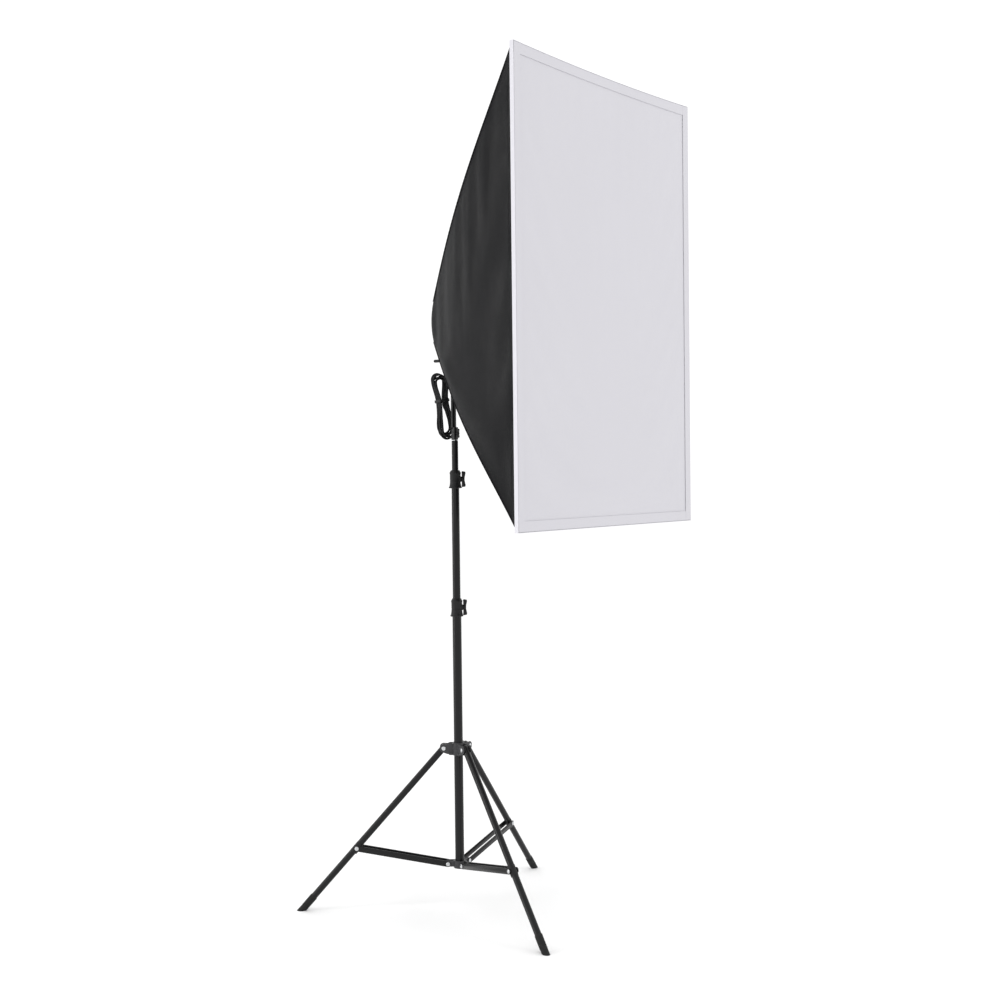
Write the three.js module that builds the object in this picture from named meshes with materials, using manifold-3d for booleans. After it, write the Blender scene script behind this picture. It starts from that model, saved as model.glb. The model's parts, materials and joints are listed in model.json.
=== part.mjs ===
// A studio softbox of 70 x 100 cm on a three-section folding light stand.
// Millimetres, +Z up, +X the way the light faces. The floor is z = 0, and the
// origin is under the middle of the whole object's bounding box.
import * as THREE from "three";
import { mergeVertices } from "three/addons/utils/BufferGeometryUtils.js";
import Module from "manifold-3d";

const wasm = await Module();
wasm.setup();

// ---------- driving dimensions ----------
const GAP = 0.3; // between pieces that touch or fit inside each other
const POLE_X = -70; // the pole's axis, from the origin
const POLE_Y = -21;
const ROUND = 24; // sides of a turned piece

// Telescopic column.
const LOWER_R = 11;
const MIDDLE_R = 9.5;
const TOP_R = 8;
const WALL = 1.2;
const LOWER_TUBE = [103.3, 749];
const MIDDLE_TUBE = [455, 1063];
const TOP_TUBE = [546, 1146];
const LOWER_LOCK_Z = 740;
const UPPER_LOCK_Z = 1053;
const KNOB_AZIMUTH = 36.6; // where the lock knobs point, in degrees about the pole

// Folding legs: a sliding hub carries the legs, and braces join them to a fixed hub.
const LEG_AZIMUTHS = [98.3, 218.3, 338.3];
const LEG_PIVOT = { r: 36, z: 396 };
const FOOT_RADIUS = 389;
const LEG_R = 8;
const BRACE_PIVOT = { r: 28.6, z: 111.4 };
const BRACE_SPREAD = 10.55; // degrees above the horizontal
const BRACE_LENGTH = 226.6;
const BRACE_HEIGHT = 14;
const BRACE_SIDE = [9.6, 11.6]; // a brace is two bars, this far to each side of the leg
const EAR_SIDE = [8.6, 11.8]; // the hub's two ears, to each side of the leg
const RIVET_R = 3;

// Head: bracket on the stand's stud, tilt joint, lamp housing.
const STUD_R = 3;
const SOCKET_Z = [1149.3, 1180];
const TILT = { x: -3, z: 1341 };
const STRAP = { x: [-6, 0], halfWidth: 7 };
const CHEEK = [7.4, 12.3]; // the housing's two cheeks, to each side of the strap
const AXIS_Z = 1433.6; // the lamp's axis
const HOUSING_R = 28;
const HOUSING_X = [-46, 18];

// Softbox shell: half sizes at the front and at the back, and how far its ribs bow out.
const FRONT_X = 451;
const SHELL_DEPTH = 477;
const FRONT_HALF = { y: 350, z: 500 };
const BACK_HALF = { y: 45, z: 46 };
const BOW = { y: 12, z: 18 };
const BOW_SKEW = 1.3;
const FRONT_Z = 1447.6;
const SKIN = 3;
const SLOT_HALF = 15;

// Lead: a 5 mm flex, a short drop, a tied hank behind the bracket, and a tail to the plug.
const CORD_R = 2.5;
const HANK = {
  u: -30, w: [10, 46], z: 1232.5, lean: 7, turn: 25, half: 83.5, loop: 20, waist: 11, waistZ: 13,
};

// ---------- materials ----------
const finish = (color, roughness, metalness) =>
  new THREE.MeshStandardMaterial({ color, roughness, metalness });
const blackMetal = finish(0x2a2a2c, 0.42, 0.5);
const blackPlastic = finish(0x323233, 0.55, 0);
const rubber = finish(0x1d1d1e, 0.85, 0);
const steel = finish(0xc8c9cb, 0.28, 1);
const brass = finish(0xb9a36a, 0.35, 1);
const blackFabric = finish(0x29292b, 0.7, 0);
const whiteFabric = finish(0xdcdbe0, 0.85, 0);
const springRod = finish(0x3a3a3c, 0.5, 0.3);
const ceramic = finish(0xe9e6de, 0.35, 0);
const whitePlastic = finish(0xf0efec, 0.4, 0);
const lampGlass = finish(0xf7f6f2, 0.2, 0);

// ---------- solids ----------
// A closed geometry as a manifold-3d solid with its faces pointing out.
function solid(geometry) {
  const bare = geometry.index ? geometry.toNonIndexed() : geometry.clone();
  bare.deleteAttribute("normal");
  bare.deleteAttribute("uv");
  const merged = mergeVertices(bare, 1e-4);
  const vertProperties = merged.attributes.position.array;
  const build = (triVerts) =>
    new wasm.Manifold(new wasm.Mesh({ numProp: 3, vertProperties, triVerts }));
  const triVerts = new Uint32Array(merged.index.array);
  const made = build(triVerts);
  return made.volume() > 0 ? made : build(triVerts.reverse());
}

function geometryOf(body) {
  const { numProp, vertProperties, triVerts } = body.getMesh();
  const positions = new Float32Array((vertProperties.length / numProp) * 3);
  for (let i = 0; i < positions.length / 3; i++)
    positions.set(vertProperties.subarray(i * numProp, i * numProp + 3), i * 3);
  const geometry = new THREE.BufferGeometry();
  geometry.setAttribute("position", new THREE.BufferAttribute(positions, 3));
  geometry.setIndex(new THREE.BufferAttribute(triVerts, 1));
  geometry.computeVertexNormals();
  return geometry;
}

const union = (...bodies) => bodies.reduce((sum, body) => sum.add(body));
const cut = (body, ...tools) => tools.reduce((rest, tool) => rest.subtract(tool), body);

function place(parent, name, body, material) {
  const mesh = new THREE.Mesh(geometryOf(body), material);
  mesh.name = name;
  parent.add(mesh);
  return mesh;
}

function boxGeometry([x0, x1], [y0, y1], [z0, z1]) {
  return new THREE.BoxGeometry(x1 - x0, y1 - y0, z1 - z0).translate(
    (x0 + x1) / 2,
    (y0 + y1) / 2,
    (z0 + z1) / 2,
  );
}
const box = (x, y, z) => solid(boxGeometry(x, y, z));

// A piece turned about Z: its profile is a list of [radius, z].
function turned(profile, sides = ROUND) {
  const points = profile.map(([r, z]) => new THREE.Vector2(r, z));
  return new THREE.LatheGeometry(points, sides).rotateX(Math.PI / 2);
}

function ring(outer, inner, [z0, z1], sides = ROUND) {
  const profile = [[inner, z0], [outer, z0], [outer, z1], [inner, z1], [inner, z0]];
  return solid(turned(profile, sides));
}

// Turned pieces laid along X or Y instead: the profile's z becomes that axis.
const alongX = (geometry) => geometry.rotateY(Math.PI / 2);
const alongY = (geometry) => geometry.rotateX(-Math.PI / 2);

function peg(axis, radius, [start, end], at, sides = ROUND) {
  const profile = [[0, start], [radius, start], [radius, end], [0, end]];
  const geometry = turned(profile, sides);
  if (axis === "x") alongX(geometry);
  if (axis === "y") alongY(geometry);
  return solid(geometry.translate(...at));
}

// An outline in the X-Z plane, with its thickness along Y.
function uprightPlate(shape, [y0, y1], curveSegments = 8) {
  const options = { depth: y1 - y0, bevelEnabled: false, curveSegments };
  return new THREE.ExtrudeGeometry(shape, options).rotateX(Math.PI / 2).translate(0, y1, 0);
}

function outline(points) {
  return new THREE.Shape(points.map(([x, y]) => new THREE.Vector2(x, y)));
}

function sweep(curve, radius, sides, steps) {
  const section = new THREE.Shape().absarc(0, 0, radius, 0, 2 * Math.PI);
  const options = { steps, curveSegments: sides / 2, extrudePath: curve };
  return solid(new THREE.ExtrudeGeometry(section, options));
}

// A closed skin through rings of the same number of points.
function loft(rings) {
  const n = rings[0].length;
  const positions = rings.flat(2);
  const index = [];
  for (let k = 0; k + 1 < rings.length; k++)
    for (let i = 0; i < n; i++) {
      const a = k * n + i;
      const b = k * n + ((i + 1) % n);
      index.push(a, b, b + n, a, b + n, a + n);
    }
  const last = (rings.length - 1) * n;
  for (let i = 1; i + 1 < n; i++) {
    index.push(0, i + 1, i);
    index.push(last, last + i, last + i + 1);
  }
  const geometry = new THREE.BufferGeometry();
  geometry.setAttribute("position", new THREE.Float32BufferAttribute(positions, 3));
  geometry.setIndex(index);
  return solid(geometry);
}

const radians = THREE.MathUtils.degToRad;
const turnedGroup = (degrees) => {
  const group = new THREE.Group();
  group.rotation.z = radians(degrees);
  return group;
};

// ---------- the whole object ----------
const softbox = new THREE.Group();
const stand = new THREE.Group(); // its origin is on the pole's axis, on the floor
stand.position.set(POLE_X, POLE_Y, 0);
softbox.add(stand);

// ---------- telescopic column ----------
function addColumn() {
  place(stand, "lower_tube", ring(LOWER_R, LOWER_R - WALL, LOWER_TUBE), blackMetal);
  place(stand, "middle_tube", ring(MIDDLE_R, MIDDLE_R - WALL, MIDDLE_TUBE), blackMetal);
  place(stand, "top_tube", ring(TOP_R, TOP_R - WALL, TOP_TUBE), blackMetal);
  addGlide("middle_tube_glide", MIDDLE_R, MIDDLE_TUBE[0]);
  addGlide("top_tube_glide", TOP_R, TOP_TUBE[0]);

  const flange = 2.7;
  const plugR = TOP_R - WALL - GAP;
  const top = TOP_TUBE[1] + GAP;
  const profile = [
    [0, top - 20], [plugR, top - 20], [plugR, top], [TOP_R, top], [TOP_R, top + flange],
    [STUD_R, top + flange], [STUD_R, SOCKET_Z[1] - 8], [STUD_R - 0.8, SOCKET_Z[1] - 7.2],
    [0, SOCKET_Z[1] - 7.2],
  ];
  place(stand, "stand_stud", solid(turned(profile)), steel);
}

// A plastic glide plugs a tube's bottom end and guides it inside the next tube down.
function addGlide(name, tubeR, end) {
  const plugR = tubeR - WALL - GAP;
  const low = end - GAP - 3;
  const profile = [
    [plugR - 2, low], [tubeR, low], [tubeR, end - GAP], [plugR, end - GAP], [plugR, end + 12],
    [plugR - 2, end + 12], [plugR - 2, low],
  ];
  place(stand, name, solid(turned(profile)), blackPlastic);
}

// A clamping collar over the joint of two tubes, and its winged knob.
function addLock(prefix, centreZ, jointZ, tubeR, innerTubeR) {
  const group = turnedGroup(KNOB_AZIMUTH);
  stand.add(group);
  const barrel = solid(turned([
    [0, centreZ - 22], [16, centreZ - 22], [16, centreZ - 19], [13, centreZ - 8],
    [13, centreZ + 17], [10.8, centreZ + 22], [0, centreZ + 22],
  ]));
  const fin = new THREE.Shape();
  fin.moveTo(-9, 17).quadraticCurveTo(-20, 13, -29, -2.5).lineTo(-27, -5).lineTo(-9, -4);
  const window = outline([[-14, 9], [-22.5, -1], [-14, -1]]);
  const lug = uprightPlate(fin, [-2.6, 2.6], 5).translate(0, 0, centreZ);
  const hole = uprightPlate(window, [-4, 4]).translate(0, 0, centreZ);
  const boss = peg("x", 6.5, [9, 15], [0, 0, centreZ], 16);
  const collar = cut(
    union(barrel, solid(lug), boss),
    solid(hole),
    peg("z", tubeR + GAP, [centreZ - 30, jointZ + GAP], [0, 0, 0]),
    peg("z", innerTubeR + GAP, [jointZ, centreZ + 30], [0, 0, 0]),
    peg("x", 2.8, [5, 20], [0, 0, centreZ], 12),
  );
  place(group, prefix + "_lock_collar", collar, blackPlastic);

  const wing = outline([[16.6, 3], [16.6, 18], [24, 19.5], [22.8, 3]]);
  const wings = solid(uprightPlate(wing, [-2.6, 2.6]));
  const knob = union(
    peg("x", 2.4, [tubeR + 0.8, 18], [0, 0, 0], 12),
    peg("x", 6, [15 + GAP, 22.5], [0, 0, 0], 16),
    wings,
    wings.rotate([180, 0, 0]),
  );
  place(group, prefix + "_lock_knob", knob.translate([0, 0, centreZ]), blackPlastic);
}

// ---------- folding legs ----------
// A rivet lies along Y through a pivot: a pin with a wide flat head at each end.
function rivet(headSide, at) {
  const end = headSide + 1.6;
  const profile = [
    [0, -end], [4, -end], [5, -headSide - 0.5], [5, -headSide], [RIVET_R, -headSide],
    [RIVET_R, headSide], [5, headSide], [5, headSide + 0.5], [4, end], [0, end],
  ];
  return solid(alongY(turned(profile, 16)).translate(...at));
}

function addLegHub() {
  const ear = new THREE.Shape();
  ear.moveTo(13, LEG_PIVOT.z - 15).lineTo(LEG_PIVOT.r, LEG_PIVOT.z - 10);
  ear.absarc(LEG_PIVOT.r, LEG_PIVOT.z, 10, -Math.PI / 2, Math.PI / 2);
  ear.lineTo(13, LEG_PIVOT.z + 10);
  const near = solid(uprightPlate(ear, EAR_SIDE));
  const far = solid(uprightPlate(ear, [-EAR_SIDE[1], -EAR_SIDE[0]]));
  const hole = peg("y", RIVET_R + GAP, [-20, 20], [LEG_PIVOT.r, 0, LEG_PIVOT.z], 16);
  const pair = cut(near.add(far), hole);
  const ears = LEG_AZIMUTHS.map((azimuth) => pair.rotate([0, 0, azimuth]));
  const body = solid(turned([
    [0, LEG_PIVOT.z - 17], [17, LEG_PIVOT.z - 17], [17, LEG_PIVOT.z + 7],
    [15, LEG_PIVOT.z + 13], [0, LEG_PIVOT.z + 13],
  ]));
  const boss = peg("x", 6, [10, 21], [0, 0, LEG_PIVOT.z], 16);
  const screwHole = peg("x", 2.8, [5, 30], [0, 0, LEG_PIVOT.z], 12);
  const hub = cut(
    union(body, boss.rotate([0, 0, KNOB_AZIMUTH]), ...ears),
    peg("z", LOWER_R + 0.4, [LEG_PIVOT.z - 30, LEG_PIVOT.z + 30], [0, 0, 0]),
    screwHole.rotate([0, 0, KNOB_AZIMUTH]),
  );
  place(stand, "leg_hub", hub, blackPlastic);

  const group = turnedGroup(KNOB_AZIMUTH);
  stand.add(group);
  const blade = boxGeometry([22.4, 31], [-13, 13], [LEG_PIVOT.z - 2.2, LEG_PIVOT.z + 2.2]);
  const knob = union(
    peg("x", 2.4, [LOWER_R + 0.8, 24], [0, 0, LEG_PIVOT.z], 12),
    peg("x", 5.5, [21 + GAP, 29], [0, 0, LEG_PIVOT.z], 16),
    solid(blade),
  );
  place(group, "leg_hub_knob", knob, blackPlastic);
}

function addBraceHub() {
  const { r, z } = BRACE_PIVOT;
  const lug = new THREE.Shape();
  lug.moveTo(12, z - 7).lineTo(r, z - 7);
  lug.absarc(r, z, 7, -Math.PI / 2, Math.PI / 2);
  lug.lineTo(12, z + 7);
  const side = BRACE_SIDE[0] - 0.4;
  const hole = peg("y", RIVET_R + GAP, [-20, 20], [r, 0, z], 16);
  const arm = cut(solid(uprightPlate(lug, [-side, side])), hole);
  const arms = LEG_AZIMUTHS.map((azimuth) => arm.rotate([0, 0, azimuth]));
  const cup = solid(turned([[0, z - 11.4], [15, z - 11.4], [16, z + 7], [0, z + 7]]));
  const bore = peg("z", LOWER_R + GAP, [LOWER_TUBE[0] - GAP, z + 30], [0, 0, 0]);
  place(stand, "brace_hub", cut(union(cup, ...arms), bore), blackPlastic);
}

function addLeg(azimuth, number) {
  const group = turnedGroup(azimuth);
  stand.add(group);
  const reach = FOOT_RADIUS - LEG_PIVOT.r;
  const length = Math.hypot(reach, LEG_PIVOT.z);
  const spread = Math.atan2(reach, LEG_PIVOT.z);
  const swing = (geometry) =>
    geometry.rotateY(-spread).translate(LEG_PIVOT.r, 0, LEG_PIVOT.z);

  const tubeEnd = -(length - 30);
  const tube = turned([
    [0, 11], [4, 10.4], [6.8, 8.4], [LEG_R, 5], [LEG_R, tubeEnd], [LEG_R - WALL, tubeEnd],
    [LEG_R - WALL, -24], [0, -24],
  ]);
  const hole = peg("y", RIVET_R + GAP, [-20, 20], [LEG_PIVOT.r, 0, LEG_PIVOT.z], 16);
  place(group, "leg_tube_" + number, cut(solid(swing(tube)), hole), blackMetal);

  const footR = LEG_R + 1.1;
  const cap = turned([
    [0, -length - 15], [footR, -length - 15], [footR, tubeEnd + 16], [LEG_R + GAP, tubeEnd + 16],
    [LEG_R + GAP, tubeEnd - GAP], [0, tubeEnd - GAP],
  ]);
  const floor = box([FOOT_RADIUS - 60, FOOT_RADIUS + 60], [-40, 40], [-60, 0]);
  place(group, "foot_" + number, cut(solid(swing(cap)), floor), rubber);

  const legRivet = rivet(EAR_SIDE[1] + GAP, [LEG_PIVOT.r, 0, LEG_PIVOT.z]);
  place(group, "leg_rivet_" + number, legRivet, steel);
  addBrace(group, number);
}

function addBrace(group, number) {
  const { r, z } = BRACE_PIVOT;
  const half = BRACE_HEIGHT / 2;
  const bar = new THREE.Shape();
  bar.absarc(0, 0, half, Math.PI / 2, 1.5 * Math.PI);
  bar.absarc(BRACE_LENGTH, 0, half, -Math.PI / 2, Math.PI / 2);
  const eye = peg("y", RIVET_R + GAP, [-20, 20], [r, 0, z], 16);
  const sides = { left: BRACE_SIDE, right: [-BRACE_SIDE[1], -BRACE_SIDE[0]] };
  for (const [side, span] of Object.entries(sides)) {
    const flat = uprightPlate(bar, span).rotateY(-radians(BRACE_SPREAD)).translate(r, 0, z);
    place(group, "brace_" + number + "_" + side, cut(solid(flat), eye), blackMetal);
  }
  const braceRivet = rivet(BRACE_SIDE[1] + GAP, [r, 0, z]);
  place(group, "brace_rivet_" + number, braceRivet, steel);
}

// ---------- bracket and tilt joint ----------
function addBracket() {
  const [strapX0, strapX1] = STRAP.x;
  const w = STRAP.halfWidth;
  const middleZ = (SOCKET_Z[0] + SOCKET_Z[1]) / 2;
  const knuckle = peg("y", 8, [-w, w], [TILT.x, 0, TILT.z]);
  const bracket = cut(
    union(
      box([strapX0, 6], [-w, w], SOCKET_Z),
      box([strapX0, strapX1], [-w, w], [SOCKET_Z[1] - 1, TILT.z]),
      knuckle,
    ),
    peg("z", STUD_R + GAP, [SOCKET_Z[0] - 5, SOCKET_Z[1] - 6.5], [0, 0, 0], 16),
    peg("x", 2.3, [2, 10], [0, 0, middleZ], 12),
    peg("y", RIVET_R + GAP, [-20, 20], [TILT.x, 0, TILT.z], 16),
  );
  place(stand, "tilt_bracket", bracket, blackMetal);

  const wings = outline([[9.2, 0], [8.8, 7], [15, 10.5], [14, 0], [15, -10.5], [8.8, -7]]);
  const screw = union(
    peg("x", 2, [STUD_R + 0.5, 9], [0, 0, 0], 12),
    peg("x", 4.2, [6 + GAP, 12.6], [0, 0, 0], 12),
    solid(uprightPlate(wings, [-1.5, 1.5])),
  );
  place(stand, "socket_screw", screw.translate([0, 0, middleZ]), steel);

  const boltSide = CHEEK[1] + GAP;
  const bolt = union(
    peg("y", RIVET_R, [-boltSide - 8, boltSide + 1], [TILT.x, 0, TILT.z], 16),
    peg("y", 6.5, [boltSide, boltSide + 4.5], [TILT.x, 0, TILT.z], 6),
  );
  place(stand, "tilt_bolt", bolt, steel);

  const handle = cut(
    union(
      peg("y", 8, [-boltSide - 14, -boltSide], [TILT.x, 0, TILT.z], 16),
      box([-43, TILT.x], [-boltSide - 14, -boltSide - 7], [TILT.z - 3.2, TILT.z + 3.2]),
    ),
    peg("y", RIVET_R + GAP, [-boltSide - 9, 0], [TILT.x, 0, TILT.z], 16),
  );
  place(stand, "tilt_handle", handle, blackPlastic);
}

// ---------- lamp housing and lamp ----------
function addHousing() {
  const [back, front] = HOUSING_X;
  const barrel = alongX(turned([
    [0, back], [23, back], [HOUSING_R, back + 5], [HOUSING_R, front], [0, front],
  ])).translate(0, 0, AXIS_Z);
  const cheek = new THREE.Shape();
  cheek.moveTo(TILT.x + 10, AXIS_Z - HOUSING_R + 6).lineTo(TILT.x - 10, AXIS_Z - HOUSING_R + 6);
  cheek.lineTo(TILT.x - 10, TILT.z);
  cheek.absarc(TILT.x, TILT.z, 10, Math.PI, 2 * Math.PI);
  const housing = cut(
    union(
      solid(barrel),
      solid(uprightPlate(cheek, CHEEK)),
      solid(uprightPlate(cheek, [-CHEEK[1], -CHEEK[0]])),
    ),
    peg("y", RIVET_R + GAP, [-20, 20], [TILT.x, 0, TILT.z], 16),
  );
  place(stand, "lamp_housing", housing, blackPlastic);

  const plateX = [front + GAP, front + 6];
  const plate = cut(
    box(plateX, [-58, 58], [AXIS_Z - 58, AXIS_Z + 58]),
    peg("x", 22, [front - 5, front + 20], [0, 0, AXIS_Z]),
  );
  place(stand, "rib_plate", plate, blackPlastic);

  const socketEnd = front + 40;
  const socket = alongX(turned([
    [0, front + GAP], [21, front + GAP], [21, socketEnd - 4], [19, socketEnd],
    [15, socketEnd], [15, front + 12], [0, front + 12],
  ])).translate(0, 0, AXIS_Z);
  place(stand, "lamp_socket", solid(socket), ceramic);
  const shell = ring(14.7, 14, [front + 12 + GAP, socketEnd - 1]);
  place(stand, "socket_shell", shell.rotate([0, 90, 0]).translate([0, 0, AXIS_Z]), brass);
}

function addLamp() {
  const base = HOUSING_X[1] + 12 + GAP;
  const baseEnd = base + 28;
  const ballastEnd = baseEnd + 62;
  const cap = alongX(turned([
    [0, base], [5, base], [5, base + 2], [13.4, base + 5], [13.4, baseEnd], [0, baseEnd],
  ])).translate(0, 0, AXIS_Z);
  place(stand, "bulb_base", solid(cap), brass);
  const ballast = alongX(turned([
    [0, baseEnd + GAP], [15, baseEnd + GAP], [30, baseEnd + 16], [31, ballastEnd - 4],
    [29, ballastEnd], [0, ballastEnd],
  ])).translate(0, 0, AXIS_Z);
  place(stand, "lamp_ballast", solid(ballast), whitePlastic);
  addSpiral(ballastEnd + GAP);
}

// The glass tube winds forwards, crosses over at the tip and winds back between its own turns.
function addSpiral(start) {
  const radius = 29;
  const length = 118;
  const turns = 3.25;
  const stepsPerArm = 40;
  const arm = (side) => {
    const at = (x, degrees) => {
      const angle = radians(degrees);
      const y = side * radius * Math.cos(angle);
      return new THREE.Vector3(start + x, y, AXIS_Z + side * radius * Math.sin(angle));
    };
    const list = [at(0.8, 90), at(8, 90)];
    for (let i = 1; i <= stepsPerArm; i++) {
      const t = i / stepsPerArm;
      list.push(at(12 + (length - 24) * t, 90 + 360 * turns * t));
    }
    return list;
  };
  const tip = new THREE.Vector3(start + length, 0, AXIS_Z);
  const curve = new THREE.CatmullRomCurve3([...arm(1), tip, ...arm(-1).reverse()]);
  curve.curveType = "centripetal";
  place(stand, "lamp_spiral", sweep(curve, 6, 8, 110), lampGlass);
}

// ---------- softbox ----------
// The shell's section at t, from 0 at the front to 1 at the back.
function section(t) {
  const bow = Math.sin(Math.PI * t ** BOW_SKEW);
  const mix = THREE.MathUtils.lerp;
  return {
    x: FRONT_X - SHELL_DEPTH * t,
    y: mix(FRONT_HALF.y, BACK_HALF.y, t) + BOW.y * bow,
    z: mix(FRONT_HALF.z, BACK_HALF.z, t) + BOW.z * bow,
    middle: mix(FRONT_Z, AXIS_Z, t),
  };
}
const STATIONS = [0, 0.2, 0.4, 0.6, 0.8, 1].map(section);

function sidePanel(side) {
  const rings = STATIONS.map(({ x, y, z, middle }) => {
    const half = z - SKIN - GAP;
    return [
      [x, side * y, middle - half], [x, side * y, middle + half],
      [x, side * (y - SKIN), middle + half], [x, side * (y - SKIN), middle - half],
    ];
  });
  return loft(rings);
}

function levelPanel(side) {
  const rings = STATIONS.map(({ x, y, z, middle }) => [
    [x, -y, middle + side * z], [x, y, middle + side * z],
    [x, y, middle + side * (z - SKIN)], [x, -y, middle + side * (z - SKIN)],
  ]);
  return loft(rings);
}

function addShell() {
  place(stand, "left_panel", sidePanel(1), blackFabric);
  place(stand, "right_panel", sidePanel(-1), blackFabric);
  place(stand, "top_panel", levelPanel(1), blackFabric);
  const slot = box([-60, 12], [-SLOT_HALF, SLOT_HALF], [AXIS_Z - 120, AXIS_Z - 20]);
  place(stand, "bottom_panel", cut(levelPanel(-1), slot), blackFabric);

  const back = FRONT_X - SHELL_DEPTH - GAP;
  const cuff = cut(
    box([back - 4, back], [-BACK_HALF.y, BACK_HALF.y], [AXIS_Z - BACK_HALF.z, AXIS_Z + BACK_HALF.z]),
    peg("x", HOUSING_R + GAP, [back - 20, back + 20], [0, 0, AXIS_Z]),
  );
  place(stand, "rear_cuff", cuff, blackFabric);
}

function addRibs() {
  const inset = 13;
  const plateFace = HOUSING_X[1] + 6 + 2.2;
  const corners = { upper_left: [1, 1], upper_right: [-1, 1], lower_left: [1, -1], lower_right: [-1, -1] };
  for (const [corner, [sideY, sideZ]] of Object.entries(corners)) {
    const points = [0.01, 0.25, 0.5, 0.72].map(section).map(({ x, y, z, middle }) =>
      new THREE.Vector3(x, sideY * (y - inset), middle + sideZ * (z - inset)));
    points.push(new THREE.Vector3(plateFace, sideY * 48, AXIS_Z + sideZ * 48));
    const curve = new THREE.CatmullRomCurve3(points);
    place(stand, "rib_" + corner, sweep(curve, 2, 8, 12), springRod);
  }
}

function addDiffuser() {
  const front = box(
    [FRONT_X + GAP, FRONT_X + 2.5],
    [-FRONT_HALF.y, FRONT_HALF.y],
    [FRONT_Z - FRONT_HALF.z, FRONT_Z + FRONT_HALF.z],
  );
  place(stand, "front_diffuser", front, whiteFabric);
}

// ---------- lead ----------
const PLUG = { u: -3, w: 64, top: 1193.2 };
const GLAND = { x: -38, top: AXIS_Z - HOUSING_R - GAP, length: 31 };

function addLead() {
  const { x, top, length } = GLAND;
  const relief = turned([[0, top - length], [3.3, top - length], [5.5, top - 8], [5.5, top], [0, top]], 16);
  place(stand, "strain_relief", solid(relief.translate(x, 0, 0)), rubber);

  const route = [
    [-38, 0, 1374], [-38, 0, 1364], [-36.7, 0.63, 1351.6], [-32.9, 2.53, 1339.3],
    [-29, 4.44, 1327], [-27.7, 5.07, 1314.6],
  ];
  const curve = new THREE.CatmullRomCurve3(route.map((p) => new THREE.Vector3(...p)));
  place(stand, "cord_lead", sweep(curve, CORD_R, 10, 5), rubber);

  // The hank hangs in the plane of local X and Z of this group.
  const group = turnedGroup(KNOB_AZIMUTH);
  stand.add(group);
  const { half, loop, waist, waistZ } = HANK;
  const shape = new THREE.Shape();
  const end = half - loop;
  shape.absarc(0, end, loop, 0, Math.PI);
  shape.bezierCurveTo(-loop, end - 22, -waist, waistZ + 22, -waist, waistZ);
  shape.bezierCurveTo(-waist, waistZ - 34, -loop, 34 - end, -loop, -end);
  shape.absarc(0, -end, loop, Math.PI, 2 * Math.PI);
  shape.bezierCurveTo(loop, 34 - end, waist, waistZ - 34, waist, waistZ);
  shape.bezierCurveTo(waist, waistZ + 22, loop, end - 22, loop, end);
  const middleW = (HANK.w[0] + HANK.w[1]) / 2;
  const twist = (geometry) =>
    geometry.translate(0, -middleW, 0).rotateZ(radians(HANK.turn)).translate(0, middleW, 0);
  const hang = (geometry) =>
    solid(twist(geometry).rotateY(-radians(HANK.lean)).translate(HANK.u, 0, HANK.z));
  place(group, "cord_hank", hang(uprightPlate(shape, HANK.w, 8)), rubber);

  const bandZ = [waistZ - 5, waistZ + 5];
  const [w0, w1] = HANK.w;
  const outer = boxGeometry([-waist - 2.9, waist + 2.9], [w0 - 2, w1 + 2], bandZ);
  const inner = boxGeometry([-waist - 1.3, waist + 1.3], [w0 - GAP, w1 + GAP], [waistZ - 9, waistZ + 9]);
  place(group, "cord_tie", cut(hang(outer), hang(inner)), blackPlastic);

  // The tail leaves the tie and bends across to the plug, which hangs edge-on behind the strap.
  const tail = [
    [-31.8, 50.5, 1237.3], [-30.1, 51.3, 1228.3], [-25.1, 53.7, 1220.7], [-17.4, 57.3, 1215.7],
    [-9.7, 60.9, 1210.6], [-4.8, 63.2, 1203], [-3, 64, 1194],
  ];
  const tailCurve = new THREE.CatmullRomCurve3(tail.map((p) => new THREE.Vector3(...p)));
  place(group, "cord_tail", sweep(tailCurve, CORD_R, 10, 8), rubber);

  const { u, w, top: neckTop } = PLUG;
  const plug = union(
    box([u - 6.5, u + 6.5], [w - 13, w + 13], [neckTop - 50, neckTop - 16]),
    box([u - 4.5, u + 4.5], [w - 4.5, w + 4.5], [neckTop - 18, neckTop]),
    box([u - 2, u + 2], [w - 11.5, w - 7.5], [neckTop - 69, neckTop - 49]),
    box([u - 2, u + 2], [w + 7.5, w + 11.5], [neckTop - 69, neckTop - 49]),
  );
  place(group, "plug", plug, blackPlastic);
}

addColumn();
addLock("lower", LOWER_LOCK_Z, LOWER_TUBE[1], LOWER_R, MIDDLE_R);
addLock("upper", UPPER_LOCK_Z, MIDDLE_TUBE[1], MIDDLE_R, TOP_R);
addLegHub();
addBraceHub();
LEG_AZIMUTHS.forEach((azimuth, i) => addLeg(azimuth, i + 1));
addBracket();
addHousing();
addLamp();
addShell();
addRibs();
addDiffuser();
addLead();

export default softbox;
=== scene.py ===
"""A studio softbox on a folding light stand, dressed in cloth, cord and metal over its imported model."""

import json
import math

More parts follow.
